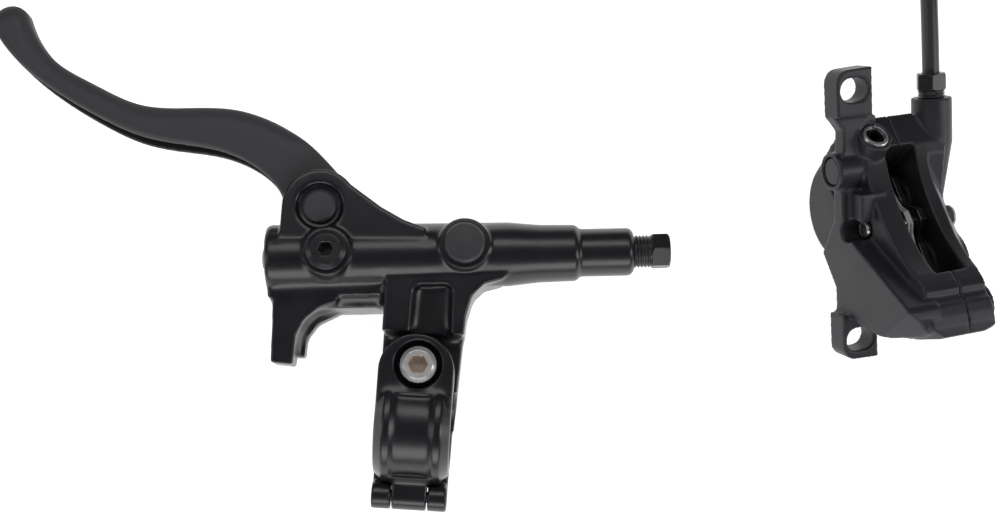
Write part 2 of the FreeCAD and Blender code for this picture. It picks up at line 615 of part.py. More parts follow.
node("secondary_seal", cup("secondary_seal", piston_start + " + 3.5"), on_barrel)
node("primary_seal", cup("primary_seal", piston_start + " + 22"), on_barrel)


def coil_spring(mid_radius, wire, start, length, turns):
    """A compression spring along Z: an eight-sided wire swept square to its helix."""
    pitch = (length - wire) / turns
    helix = Part.makeHelix(pitch, length - wire, mid_radius)
    helix.translate(V(0, 0, start + wire / 2))
    begin = V(mid_radius, 0, start + wire / 2)
    outward = V(1, 0, 0)
    upward = V(0, 2 * math.pi * mid_radius, pitch).normalize().cross(outward)
    corners = []
    for k in range(8):
        angle = math.radians(45 * k + 22.5)
        corners.append(begin + outward * (wire / 2 * math.cos(angle)) + upward * (wire / 2 * math.sin(angle)))
    section = Part.makePolygon(corners + corners[:1])
    return Part.Wire(helix.Edges).makePipeShell([section], True, True)


spring_start = value(piston_start + " + 25.6")
spring_end = value("barrel_length - 1.1")
spring = doc.addObject("Part::Feature", "return_spring")
spring.Shape = coil_spring(3.2, 0.8, spring_start, spring_end - spring_start, 8)
spring.Placement = FreeCAD.Placement(V(), AXES["X"])
node("return_spring", spring, on_barrel)

stop_ring = turned("piston_stop_ring", [
    ("rod_radius + 0.5", "bore_start + 1.8"), ("piston_radius", "bore_start + 1.8"),
    ("piston_radius", "bore_start + 3"), ("rod_radius + 0.5", "bore_start + 3")], FreeCAD.Placement(V(), AXES["X"]))
node("piston_stop_ring", stop_ring, on_barrel)

end_cap = turned("barrel_end_cap", [
    ("0", "-1.7"), ("2.6", "-1.35"), ("4.4", "-0.6"), ("4.8", "-0.02"), ("4.2", "-0.02"), ("4.2", "4.5"), ("3.6", "5"), ("0", "5")],
    FreeCAD.Placement(V(), AXES["X"]))
node("barrel_end_cap", end_cap, on_barrel)

# Reservoir in the chamber under the barrel: diaphragm bulb and socket plug
bulb = turned("reservoir_diaphragm", [
    ("reservoir_radius - 0.9", "7"), ("reservoir_radius - 0.1", "7"), ("reservoir_radius - 0.1", "8.4"),
    ("reservoir_radius - 0.8", "9"), ("reservoir_radius - 0.5", "14"), ("reservoir_radius - 0.9", "18"),
    ("reservoir_radius - 0.5", "22"), ("reservoir_radius - 0.9", "26"), ("reservoir_radius - 0.6", "30"),
    ("reservoir_radius - 2", "35"), ("0", "36.5"), ("0", "35.7"), ("reservoir_radius - 2.6", "34.3"),
    ("reservoir_radius - 1.4", "29.6"), ("reservoir_radius - 1.7", "26"), ("reservoir_radius - 1.3", "22"),
    ("reservoir_radius - 1.7", "18"), ("reservoir_radius - 1.3", "14"), ("reservoir_radius - 1.6", "8.6")])
bulb.Placement = at("0", "-reservoir_drop", "-reservoir_deep", "X")
node("reservoir_diaphragm", bulb, on_barrel)
tank_plug = turned("tank_plug_blank", [
    ("0", "1.6"), ("reservoir_radius - 0.8", "1.6"), ("reservoir_radius - 0.02", "2.4"), ("reservoir_radius - 0.02", "6.9"), ("0", "6.9")])
tank_socket = hexagon("tank_socket", "4", ("0", "0", "1"), "3.4")
tank_plug = cut("reservoir_plug", tank_plug, tank_socket)
tank_plug.Placement = at("0", "-reservoir_drop", "-reservoir_deep", "X")
node("reservoir_plug", tank_plug, on_barrel)

# Bleed screw with its ring, and the push-in plug, on top of the barrel
seat_high = "barrel_radius + 0.2"
bleed_blank = turned("bleed_blank", [
    ("0", "blade_thick / 2 + 0.6"), ("screw_radius - 0.5", "blade_thick / 2 + 0.6"), ("screw_radius", "blade_thick / 2 + 1.2"),
    ("screw_radius", seat_high + " + 0.9"), ("bleed_head_radius - 0.6", seat_high + " + 0.9"),
    ("bleed_head_radius", seat_high + " + 1.5"), ("bleed_head_radius - 0.2", seat_high + " + 2.4"),
    ("bleed_head_radius - 1.6", seat_high + " + 3.1"), ("0", seat_high + " + 3.1")])
bleed_socket = hexagon("bleed_socket", "4", ("0", "0", seat_high), "6")
bleed_screw = cut("bleed_screw", bleed_blank, bleed_socket)
bleed_screw.Placement = at("bleed_along", "0.6", "0")
node("bleed_screw", bleed_screw, on_barrel)
ring = turned("bleed_screw_seal", [
    ("screw_radius + 0.05", seat_high), ("bleed_head_radius - 1.2", seat_high), ("bleed_head_radius - 0.9", seat_high + " + 0.45"),
    ("bleed_head_radius - 1.2", seat_high + " + 0.9"), ("screw_radius + 0.05", seat_high + " + 0.9")])
ring.Placement = at("bleed_along", "0.6", "0")
node("bleed_screw_seal", ring, on_barrel)
plug_high = "barrel_radius"
port_plug = turned("port_plug", [
    ("0", "piston_radius + 0.6"), ("4.0", "piston_radius + 0.6"), ("4.6", "piston_radius + 1.4"), ("4.6", plug_high),
    ("plug_head_radius", plug_high), ("plug_head_radius", plug_high + " + 1.6"),
    ("plug_head_radius - 0.7", plug_high + " + 2.4"), ("0", plug_high + " + 2.6")])
port_plug.Placement = at("plug_along", "1.9", "0")
node("port_plug", port_plug, on_barrel)

# Compression nut in the nose, ready for a hose end
nut_face = "barrel_length + nose_length"
nut_blank = turned("nut_shank", [
    ("hose_radius + 0.1", nut_face + " - nut_grip"), ("nut_thread - 0.6", nut_face + " - nut_grip"),
    ("nut_thread", nut_face + " - nut_grip + 0.8"),
    ("nut_thread", nut_face + " + 6"), ("hose_radius + 0.1", nut_face + " + 6")])
nut_blank.Placement = FreeCAD.Placement(V(), AXES["X"])
nut_hex = hexagon("nut_hex", "nut_flats", (nut_face + " + 5.4", "0", "0"), "nut_length", "X")
nut_round = turned("nut_round", [
    ("0", nut_face + " + 5.3"), ("nut_flats / sqrt(3) - 0.7", nut_face + " + 5.3"),
    ("nut_flats / sqrt(3) + 0.1", nut_face + " + 6.1"), ("nut_flats / sqrt(3) + 0.1", nut_face + " + nut_length + 4.6"),
    ("nut_flats / sqrt(3) - 0.7", nut_face + " + nut_length + 5.4"), ("0", nut_face + " + nut_length + 5.4")])
nut_round.Placement = FreeCAD.Placement(V(), AXES["X"])
nut_bore = rod("nut_bore", "hose_radius + 0.1", ("barrel_length", "0", "0"), "60", "X")
nut_head = common("nut_head", nut_hex, nut_round)
node("compression_nut", cut("compression_nut", fuse("nut_stock", nut_blank, nut_head), nut_bore), on_barrel)

# Caliper halves: two forged shells that meet at the parting plane and hold the cylinders
SIDE_LOW = [
    ("-body_down", "-2.6"), ("-body_down + 0.4", "-4.6"), ("-body_down + 5.6", "-14.3"),
    ("-body_down + 14.6", "-24.3"), ("-body_down + 20", "-body_deep")]
side_profile = [
    ("body_up", "0.4"), ("window_long", "0.4"), ("-window_long", "0.4"), ("-window_long - 3.6", "1.3"),
    ("-window_long - 5.8", "1.3"), ("-window_long - 7.2", "0.2"), ("-window_long - 8.4", "0.2"),
    ("-window_long - 10", "1.0"), ("-body_down + 5.2", "0.2"), ("-body_down + 2.4", "-0.9")] + SIDE_LOW + [
    ("window_long", "-body_deep"), ("body_up - 3", "-22"), ("body_up", "-9")]
out_section = [
    ("0", "2"), ("-rim_out", "2"), ("-rim_out - 0.9", "-2"), ("-core_side + 0.4", "-11"), ("-core_side", "-13"),
    ("-core_side", "-body_deep - 1"), ("0", "-body_deep - 1")]
in_section = [
    ("0", "2"), ("0", "-body_deep - 1"), ("in_side - 1.5", "-body_deep - 1"), ("in_side", "-26"), ("in_side", "-10.6"),
    ("rim_in", "-3.4"), ("rim_in - 0.4", "2")]
out_plan = [
    ("0", "body_up + 1"), ("-core_side - 1", "body_up + 1"), ("-core_side - 1", "-body_down + 3.6"), ("-8", "-body_down"),
    ("0", "-body_down - 1")]
in_plan = [
    ("0", "body_up + 1"), ("0", "-body_down - 1"), ("5", "-body_down"), ("10.6", "-body_down + 1.6"),
    ("14", "-body_down + 4.4"), ("in_side", "-body_down + 8"), ("in_side + 1", "body_up + 1")]
BOLT_PLACES = ("window_long + high_bolt", "-window_long - low_bolt")


def half_blank(name, section, corners, low, high):
    """The common part of the side profile, the cross section and the plan, with the rims sagging between the ends."""
    plan = plate(name + "_plan", corners, "-60", "20")
    side = plate(name + "_side", side_profile, low, high, "YZ_Plane")
    body = doc.addObject("PartDesign::Body", name + "_cross")
    sketch = outline(body, name + "_section", "XZ_Plane", section)
    sketch.setExpression("AttachmentOffset.Base.z", bound("-body_up - 2"))
    pad = body.newObject("PartDesign::Pad", name + "_cross_pad")
    pad.Profile = sketch
    bind(pad, Length="body_up + body_down + 4")
    sag = "(window_long * window_long + rim_dip * rim_dip) / (2 * rim_dip)"
    saddle = rod(name + "_saddle", sag, ("-30", "0", "0.4 - rim_dip + " + sag), "60", "X")
    return cut(name + "_blank", common(name + "_stock", side, body, plan), saddle)


def pair(name, radius, start, length):
    """Two cylinders across the caliper, one for each piston of a side."""
    return [rod("%s_%d" % (name, k), radius, (start, along, "-cylinder_deep"), length, "X")
            for k, along in enumerate(("cylinder_along", "-cylinder_along"))]


def across_bolts(name, radius, start, length):
    return [rod("%s_%d" % (name, k), radius, (start, along, "-bolt_deep"), length, "X")
            for k, along in enumerate(BOLT_PLACES)]


def shared_cuts(name):
    """The window, the rotor slot and the axle bore, the same in both halves."""
    window = box(name + "_window", (("-window_half", "window_half"), ("-window_long", "window_long"),
                                    ("-body_deep - 9", "6")))
    slot = box(name + "_slot", (("-rotor_half", "rotor_half"), ("-60", "60"), ("-body_deep - 9", "-rotor_top")))
    axle = rod(name + "_axle", "axle_radius + fit_gap", ("-30", "axle_along", "-axle_deep"), "60", "X")
    return [window, slot, axle]


# The outboard half: its core under the window rim, the cheek with its sloping facet, and the housing
outboard = half_blank("outboard", out_section, out_plan, "-core_side", "0")
cheek_side_view = plate("cheek_side_view", [
    ("6.5", "-11"), ("0", "-8"), ("-24", "1.2"), ("-31.2", "1.2"), ("-33.4", "0.4"), ("-36.8", "-3"), ("-36.6", "-5.6"),
    ("-32.6", "-14.3"), ("-24", "-24.3"), ("-18", "-body_deep"), ("2", "-body_deep"), ("6.5", "-18")],
    "-cheek_side", "-9", "YZ_Plane")
cheek_plan = plate("cheek_plan", [
    ("-9", "10"), ("-cheek_side", "10"), ("-cheek_side", "-31"), ("-cheek_side + 5", "-35.6"), ("-9", "-body_down")], "-60", "20")
shelf = box("cheek_shelf", (("-30", "30"), ("-60", "60"), ("0", "30")))
shelf = moved("cheek_shelf_leaning", shelf, FreeCAD.Placement(
    V(0, 0, -value("shelf_deep")), FreeCAD.Rotation(V(1, 0, 0), -value("shelf_lean"))))
cheek = cut("cheek", common("cheek_blank", cheek_side_view, cheek_plan), shelf)
bulge_end = taper("bulge_end", "housing_radius - 2", "housing_radius", ("-out_housing", "cylinder_along", "-cylinder_deep"),
                  "2", "X")
bulge = rod("bulge", "housing_radius", ("-out_housing + 2", "cylinder_along", "-cylinder_deep"), "out_housing - 8", "X")
bulge_zone = box("bulge_zone", (("-30", "0"), ("-10", "40"), ("-50", "-cylinder_deep + 2.5")))
upper_housing = common("upper_housing", fuse("bulge_stock", bulge_end, bulge), bulge_zone)
lower_housing = rod("lower_housing", "housing_radius - 6.8", ("-out_housing", "-cylinder_along", "-cylinder_deep"),
                    "out_housing - 6", "X")
nipple_frame = FreeCAD.Placement(
    V(-value("nipple_side"), value("nipple_along"), value("nipple_face")),
    FreeCAD.Rotation(V(1, 0, 0), -value("nipple_tilt")))
nipple_stem = moved("nipple_stem_leaning", rod("nipple_stem", "nipple_boss", ("0", "0", "-17"), "17"), nipple_frame)
passage_stem = rod("passage_stem", "passage_boss", ("-passage_side", "passage_along", "-passage_deep"), "12", "X")
out_main = fuse("out_main", outboard, cheek, upper_housing, lower_housing, nipple_stem, passage_stem)
out_main.Placement = body_frame

# The mounting flange: two eared ends on a narrower plate, and the block beside the pad axle
ear_left = "-ear_side - ear_width / 2"
ear_right = "-ear_side + ear_width / 2"
ear_far = "mount_spacing / 2 + ear_end"
ear_near = "mount_spacing / 2 - ear_end - 1.6"
ear_plates = []
for side, sign in (("upper", ""), ("lower", "-")):
    blank = plate(side + "_mount_ear", [
        (ear_left, "%s(%s)" % (sign, ear_near)), (ear_left, "%s(%s - ear_round)" % (sign, ear_far)),
        ("%s + ear_round" % ear_left, "%s(%s - ear_round)" % (sign, ear_far)),
        ("%s + ear_round" % ear_left, "%s(%s)" % (sign, ear_far)), (ear_right, "%s(%s + 0.3)" % (sign, ear_far)),
        (ear_right, "%s(%s)" % (sign, ear_near))], "-ear_plate", "0")
    corner = rod(side + "_ear_corner", "ear_round",
                 ("%s + ear_round" % ear_left, "%s(%s - ear_round)" % (sign, ear_far), "-ear_plate"), "ear_plate")
    ear_plates += [blank, corner]
flange = plate("mount_flange", [
    ("-cheek_side", "8.5 - mount_spacing / 2"), (ear_left, "6 - mount_spacing / 2"), (ear_right, "6 - mount_spacing / 2"),
    ("-7", "11 - mount_spacing / 2"), ("-7", "mount_spacing / 2 - 8.4"), (ear_right, "mount_spacing / 2 - 7"),
    (ear_left, "mount_spacing / 2 - 7.6"), ("-18", "mount_spacing / 2 - 12"), ("-18", "mount_spacing / 2 - 17"),
    ("-cheek_side", "mount_spacing / 2 - 20")], "-ear_plate", "-2.6")
axle_block = box("axle_block", (("-16.4", "-8"), ("-1.2", "7"), ("-6.5", "3.4")))
ear_slots = []
for k, sign in enumerate(("", "-")):
    y = "%smount_spacing / 2" % sign
    flat = "(slot_length - slot_width) / 2"
    for end, side in enumerate(("-", "+")):
        ear_slots.append(rod("slot_end_%d%d" % (k, end), "slot_width / 2", ("-ear_side %s %s" % (side, flat), y, "-30"), "60"))
    ear_slots.append(box("slot_mid_%d" % k, (("-ear_side - " + flat, "-ear_side + " + flat),
                                             (y + " - slot_width / 2", y + " + slot_width / 2"), ("-30", "30"))))
out_bores = pair("out_bore", "caliper_piston + fit_gap", "-window_half - cup_depth", "cup_depth + 1")
out_grooves = pair("out_groove", "caliper_piston + seal_wide", "-window_half - 5", "seal_thick")
nipple_bore = moved("nipple_bore_leaning", rod("nipple_bore", "4.1", ("0", "0", "-9.3"), "20"), nipple_frame)
passage_bore = rod("passage_bore", "4.4", ("-30", "passage_along", "-passage_deep"), "34.3 - passage_side", "X")
axle_sink = rod("axle_sink", "3.3", ("-40", "axle_along", "-axle_deep"), "40 - axle_head + 3.05", "X")
out_cuts = fuse("out_cuts", *shared_cuts("out"), *out_bores, *out_grooves, nipple_bore, passage_bore, axle_sink,
                *across_bolts("out_thread", "bolt_radius + fit_gap", "-11", "20"))
out_cuts.Placement = body_frame
inner_side = box("inner_side", (("0", "60"), ("-80", "80"), ("-80", "80")))
outboard_half = cut("caliper_outboard_half", fuse("out_forging", out_main, flange, axle_block, *ear_plates), out_cuts,
                    fuse("ear_slot_cuts", *ear_slots), inner_side)
node("caliper_outboard_half", outboard_half, caliper_frame)

# The inboard half: its core, the head block that carries the hose boss, and the housings and bolt bosses
inboard = half_blank("inboard", in_section, in_plan, "0", "in_side + 1")
head_block = plate("head_block", [
    ("body_up - 1", "0.4"), ("window_long", "0.4"), ("window_long - 3.5", "-1.1"), ("6", "-11.7"), ("-4", "-11.2"), ("-4", "-20"), ("body_up - 3", "-20"),
    ("body_up - 0.6", "-9")], "rim_in - 0.6", "in_side", "YZ_Plane")
in_housings = pair("in_cup", "housing_radius - 6.6", "6", "in_side - 6")
low_boss = rod("low_bolt_boss", "6.6", ("6", "-window_long - low_bolt", "-bolt_deep"), "10.4", "X")
hose_boss = rod("hose_boss_stem", "hose_boss", ("hose_side", "18", "-hose_back"), "hose_boss_top - 18", "Y")
hose_foot = taper("hose_boss_foot", "hose_boss - 3.9", "hose_boss", ("hose_side", "-5", "-hose_back"), "23", "Y")
in_main = fuse("in_main", inboard, head_block, low_boss, *in_housings)
in_main.Placement = body_frame
in_bores = pair("in_bore", "caliper_piston + fit_gap", "window_half - 1", "cup_depth + 1")
in_grooves = pair("in_groove", "caliper_piston + seal_wide", "window_half + 5 - seal_thick", "seal_thick")
in_cuts = fuse("in_cuts", *shared_cuts("in"), *in_bores, *in_grooves,
               rod("axle_spot", "4", ("in_side - 0.1", "axle_along", "-axle_deep"), "10", "X"),
               *across_bolts("in_through", "bolt_radius + 0.3", "-11", "60"),
               *across_bolts("in_sink", "5.2", "10", "60"))
in_cuts.Placement = body_frame
hose_bore = rod("hose_bore", "hose_thread + fit_gap", ("hose_side", "hose_boss_top - 10", "-hose_back"), "20", "Y")
outer_side = box("outer_side", (("-60", "0"), ("-80", "80"), ("-80", "80")))
inboard_half = cut("caliper_inboard_half", fuse("in_forging", in_main, hose_boss, hose_foot), in_cuts, hose_bore, outer_side)
node("caliper_inboard_half", inboard_half, caliper_frame)

# Pistons with their square seals, four in all
piston_profile = [
    ("0", "2.5"), ("0", "cup_depth - 0.8"), ("caliper_piston - 0.6", "cup_depth - 0.8"), ("caliper_piston", "cup_depth - 1.4"),
    ("caliper_piston", "pad_play"), ("caliper_piston - 1.6", "pad_play"), ("caliper_piston - 1.6", "2.5")]
seal_profile = [
    ("caliper_piston + 0.02", "5.05 - seal_thick"), ("caliper_piston + seal_wide - 0.05", "5.05 - seal_thick"),
    ("caliper_piston + seal_wide - 0.05", "4.95"), ("caliper_piston + 0.02", "4.95")]


def across(name, profile, side):
    """Two turned pieces facing the rotor from one side, outboard (-1) or inboard (+1)."""
    items = []
    for k, along in enumerate(("cylinder_along", "-cylinder_along")):
        spin = AXES["X"] if side > 0 else FreeCAD.Rotation(V(0, 1, 0), -90)
        start = value("window_half") * side
        place = FreeCAD.Placement(V(start, value(along), -value("cylinder_deep")), spin)
        items.append(turned("%s_%d" % (name, k), profile, place))
    return items


node("outboard_pistons", group("outboard_pistons", *across("out_piston", piston_profile, -1)), on_body)
node("inboard_pistons", group("inboard_pistons", *across("in_piston", piston_profile, 1)), on_body)
node("piston_seals", group("piston_seals", *across("out_seal", seal_profile, -1), *across("in_seal", seal_profile, 1)), on_body)

# Pads: steel backings with a round tab for the axle, and their linings
tab_y = "axle_along"
backing_outline = [
    ("-pad_half", "-pad_low + 3"), ("-pad_half + 2", "-pad_low"), ("pad_half - 2", "-pad_low"), ("pad_half", "-pad_low + 3"),
    ("pad_half", "-pad_top - 2"), ("pad_half - 3", "-pad_top"), (tab_y + " + 7", "-pad_top"), (tab_y + " + pad_tab - 0.6", "-axle_deep + 1"),
    (tab_y + " + pad_tab - 1.8", "-axle_deep + 3.2"), (tab_y + " + 1.8", "-axle_deep + pad_tab - 0.4"), (tab_y + " - 1.8", "-axle_deep + pad_tab - 0.4"),
    (tab_y + " - pad_tab + 1.8", "-axle_deep + 3.2"), (tab_y + " - pad_tab + 0.6", "-axle_deep + 1"), (tab_y + " - 7", "-pad_top"),
    ("-pad_half + 3", "-pad_top"), ("-pad_half", "-pad_top - 2")]
lining_outline = [
    ("-pad_half + 1", "-pad_low + 3.4"), ("-pad_half + 3", "-pad_low + 1"), ("pad_half - 3", "-pad_low + 1"), ("pad_half - 1", "-pad_low + 3.4"),
    ("pad_half - 1", "-pad_top - 4.6"), ("pad_half - 3", "-pad_top - 3"), ("-pad_half + 3", "-pad_top - 3"), ("-pad_half + 1", "-pad_top - 4.6")]
backing_out = "window_half - pad_play"
backing_in = "window_half - pad_play - backing_thick"
lining_in = "window_half - pad_play - backing_thick - lining_thick"
for side, sign in (("outboard", -1), ("inboard", 1)):
    spans = [(backing_in, backing_out), (lining_in, backing_in)]
    if sign < 0:
        spans = [("-(%s)" % b, "-(%s)" % a) for a, b in spans]
    backing = plate(side + "_backing_blank", backing_outline, spans[0][0], spans[0][1], "YZ_Plane")
    hole = rod(side + "_tab_hole", "axle_radius + 0.25", ("-20", "axle_along", "-axle_deep"), "40", "X")
    node(side + "_pad_backing", cut(side + "_pad_backing", backing, hole), on_body)
    lining = plate(side + "_pad_lining", lining_outline, spans[1][0], spans[1][1], "YZ_Plane")
    node(side + "_pad_lining", lining, on_body)

# Pad spring: two leaves beside the linings' tops, joined by a saddle over the axle
leaf_path = [(15.5, -15.4), (12.0, -12.2), (5.5, -10.6), (3.0, -8.6), (-1.0, -8.6), (-3.5, -10.6), (-10.0, -12.2), (-13.5, -15.4)]
leaf_outline = [(str(y), str(z)) for y, z in leaf_path] + [(str(y), str(z - 0.5)) for y, z in reversed(leaf_path)]
leaves = [plate("spring_leaf_%d" % k, leaf_outline, low, high, "YZ_Plane")
          for k, (low, high) in enumerate((("-0.9", "-0.2"), ("0.2", "0.9")))]
saddle_strip = box("spring_saddle", (("-0.9", "0.9"), ("-1", "3"), ("-9.1", "-8.6")))
node("pad_spring", fuse("pad_spring", *leaves, saddle_strip), on_body)

# Pad axle with its socket head, and the clip on its far end
axle_blank = turned("pad_axle_blank", [
    ("0", "-axle_head"), ("2.3", "-axle_head"), ("2.8", "0.5 - axle_head"), ("2.8", "3 - axle_head"),
    ("axle_radius", "3 - axle_head"), ("axle_radius", "in_side + 0.4"),
    ("axle_radius - 0.5", "in_side + 0.4"), ("axle_radius - 0.5", "in_side + 1.2"), ("axle_radius", "in_side + 1.2"),
    ("axle_radius", "in_side + 2"), ("axle_radius - 0.5", "in_side + 2.5"), ("0", "in_side + 2.5")])
axle_socket = hexagon("axle_socket", "3", ("0", "0", "-axle_head - 1"), "3.2")
pad_axle = cut("pad_axle", axle_blank, axle_socket)
pad_axle.Placement = at("0", "axle_along", "-axle_deep", "X")
node("pad_axle", pad_axle, on_body)
clip_plate = turned("axle_clip_ring", [
    ("axle_radius - 0.42", "in_side + 0.5"), ("axle_radius + 1.7", "in_side + 0.5"), ("axle_radius + 1.7", "in_side + 1.1"),
    ("axle_radius - 0.42", "in_side + 1.1")])
clip_mouth = box("clip_mouth", (("-1.0", "1.0"), ("0", "6"), ("in_side", "in_side + 3")))
axle_clip = cut("axle_clip", clip_plate, clip_mouth)
axle_clip.Placement = at("0", "axle_along", "-axle_deep", "X")
node("axle_clip", axle_clip, on_body)

# Bolts that join the halves, from the inboard side
joint_bolts = []
for k, along in enumerate(BOLT_PLACES):
    blank = turned("joint_blank_%d" % k, [
        ("0", "-10.5"), ("bolt_radius - 0.6", "-10.5"), ("bolt_radius", "-9.9"), ("bolt_radius", "10.05"),
        ("4.8", "10.05"), ("4.8", "14"), ("4.2", "14.6"), ("0", "14.6")])
    socket = hexagon("joint_socket_%d" % k, "5", ("0", "0", "11.6"), "5")
    bolt = cut("joint_bolt_%d" % k, blank, socket)
    bolt.Placement = at("0", along, "-bolt_deep", "X")
    joint_bolts.append(bolt)
node("caliper_body_bolts", group("caliper_body_bolts", *joint_bolts), on_body)

# Bleed nipple in its boss, and the plug that closes the cross drilling
nipple_blank = turned("nipple_blank", [
    ("0", "-9"), ("2.4", "-9"), ("4.05", "-7.4"), ("4.05", "-0.2"), ("3.7", "0.3"), ("3.0", "0.3"), ("3.0", "-0.5"),
    ("0", "-0.5")])
nipple_socket = hexagon("nipple_socket", "3.2", ("0", "0", "-3.7"), "5")
nipple = cut("caliper_bleed_screw", nipple_blank, nipple_socket)
nipple.Placement = nipple_frame
node("caliper_bleed_screw", nipple, on_body)
disc = turned("passage_plug", [
    ("0", "0.4"), ("3.6", "0.4"), ("4.35", "0.9"), ("4.35", "4.3"), ("0", "4.3")])
disc.Placement = at("-passage_side", "passage_along", "-passage_deep", "X")
node("passage_plug", disc, on_body)

# Hose joint: nut and olive round the hose in the boss
hose_axis = caliper_frame.multiply(at("hose_side", "0", "-hose_back", "Y"))
nut_base = "hose_nut_base"
nut_end = "hose_nut_base + hose_nut_length"
hose_shank = turned("hose_nut_shank", [
    ("hose_radius + 0.1", "hose_boss_top - 4"), ("hose_thread", "hose_boss_top - 4"), ("hose_thread", nut_base + " + 0.5"),
    ("hose_radius + 0.1", nut_base + " + 0.5")])
hose_hex = hexagon("hose_nut_hex", "hose_nut_flats", ("0", "0", nut_base), "hose_nut_length")
hose_round = turned("hose_nut_round", [
    ("0", nut_base), ("hose_nut_flats / sqrt(3) - 0.6", nut_base), ("hose_nut_flats / sqrt(3) + 0.1", nut_base + " + 0.7"),
    ("hose_nut_flats / sqrt(3) + 0.1", nut_end + " - 0.7"), ("hose_nut_flats / sqrt(3) - 0.6", nut_end), ("0", nut_end)])
hose_nut_bore = rod("hose_nut_bore", "hose_radius + 0.1", ("0", "0", "0"), "80")
hose_nut = cut("hose_nut", fuse("hose_nut_stock", hose_shank, common("hose_nut_head", hose_hex, hose_round)), hose_nut_bore)
node("hose_nut", hose_nut, hose_axis)
olive = turned("olive", [
    ("hose_radius + 0.05", "hose_boss_top - 9"), ("hose_radius + 0.5", "hose_boss_top - 9"), ("hose_thread - 0.05", "hose_boss_top - 7.4"),
    ("hose_thread - 0.05", "hose_boss_top - 5.8"), ("hose_radius + 0.6", "hose_boss_top - 4.1"), ("hose_radius + 0.05", "hose_boss_top - 4.1")])
node("olive", olive, hose_axis)

# Hose: straight runs joined by tangent arcs from the nut down to the table, then a round coil
HOSE_POINTS = [(118.6, 117.0, 39.0), (114.0, 145.0, 27.0), (107.0, 170.0, 13.0), (91.0, 190.0, 4.4),
               (66.0, 198.5, 2.6), (40.0, 198.5, 2.6)]
COIL_RADIUS = 30.0
COIL_TURNS = 4


def hose_wire(points):
    """Straight runs joined by arcs whose radius is 0.45 of the shorter run over the tangent of half the turn."""
    edges = []
    radii = []
    last = points[0]
    for before, corner, after in zip(points, points[1:], points[2:]):
        back = (before - corner).normalize()
        ahead = (after - corner).normalize()
        turn = math.pi - back.getAngle(ahead)
        reach = 0.45 * min((before - corner).Length, (after - corner).Length)
        radii.append(reach / math.tan(turn / 2))
        begin = corner + back * reach
        end = corner + ahead * reach
        middle = (back + ahead).normalize()
        centre_gap = math.hypot(radii[-1], reach)
        through = corner + middle * (centre_gap - radii[-1])
        edges.append(Part.LineSegment(last, begin).toShape())
        edges.append(Part.Arc(begin, through, end).toShape())
        last = end
    edges.append(Part.LineSegment(last, points[-1]).toShape())
    return Part.Wire(edges), radii


hose_start = hose_axis.multVec(V(0, 0, value("hose_boss_top - 9")))
hose_rise = hose_axis.multVec(V(0, 0, value("hose_boss_top - 9") + 32))
hose_points = [hose_start, hose_rise] + [V(*p) for p in HOSE_POINTS]
path, radii = hose_wire(hose_points)
section = Part.Wire(Part.Circle(hose_start, hose_rise - hose_start, value("hose_radius")).toShape())
tube = doc.addObject("Part::Feature", "hose_run")
tube.Shape = path.makePipeShell([section], True, False)
node("hose_run", tube, FreeCAD.Placement())
tube_room = doc.addObject("Part::Feature", "tube_room")
tube_room.Shape = tube.Shape
print("hose arc radii", [round(r, 1) for r in radii])
print("hose volume ratio", round(tube.Shape.Volume / (math.pi * value("hose_radius") ** 2 * path.Length), 4))
print("hose run", round(path.Length, 1), "coil", round(COIL_TURNS * 2 * math.pi * COIL_RADIUS, 1))

coil_low = [("%g - hose_radius" % COIL_RADIUS, "0.1"), ("%g + hose_radius" % COIL_RADIUS, "0.1"),
            ("%g + hose_radius" % COIL_RADIUS, "0.1 + %d * 2 * hose_radius" % COIL_TURNS),
            ("%g - hose_radius" % COIL_RADIUS, "0.1 + %d * 2 * hose_radius" % COIL_TURNS)]
last_point = hose_points[-1]
end_z = value("0.1 + (2 * %d - 1) * hose_radius" % COIL_TURNS)
coil_place = FreeCAD.Placement(V(last_point.x, last_point.y - COIL_RADIUS, 0), FreeCAD.Rotation())
cap_place = FreeCAD.Placement(V(last_point.x - COIL_RADIUS, last_point.y - COIL_RADIUS, end_z),
                              FreeCAD.Rotation(V(1, 0, 0), 90))
cap_profile = [("0", "0"), ("hose_radius", "0"), ("hose_radius + 0.9", "0.8"), ("hose_radius + 0.9", "16"),
               ("hose_radius", "18"), ("0", "18")]
coil_ring = turned("coil_ring", coil_low, coil_place)
cap_room = turned("cap_room", cap_profile, cap_place)
node("hose_coil", cut("hose_coil", coil_ring, cap_room, tube_room), FreeCAD.Placement())
node("hose_end_cap", turned("hose_end_cap", cap_profile, cap_place), FreeCAD.Placement())

doc.recompute()

# Put the origin at the middle of the underside of the set, the hose and its ends left out
CORD = ("hose_run", "hose_coil", "hose_end_cap")
span = FreeCAD.BoundBox()
for name, item in nodes.items():
    if name not in CORD:
        span.add(item.Shape.optimalBoundingBox(False, False))
print("span", span)
shift = FreeCAD.Placement(V(-span.Center.x, -span.Center.y, -span.ZMin), FreeCAD.Rotation())
for item in nodes.values():
    item.Placement = shift.multiply(item.Placement)
doc.recompute()

bad = [o.Name for o in doc.Objects if "Invalid" in o.State or "Error" in o.State]
for name, item in nodes.items():
    if item.Shape.isNull() or not item.Shape.isValid() or not item.Shape.Solids:
        bad.append(name)
if bad:
    raise SystemExit("failed: " + ", ".join(bad))
os.makedirs("parts", exist_ok=True)
for name, item in nodes.items():
    item.Shape.exportStep("parts/%s.step" % name)
    print(name, len(item.Shape.Solids), round(item.Shape.Volume, 1))
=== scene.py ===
import math

import bmesh
import bpy
import numpy as np
from mathutils import Matrix, Vector


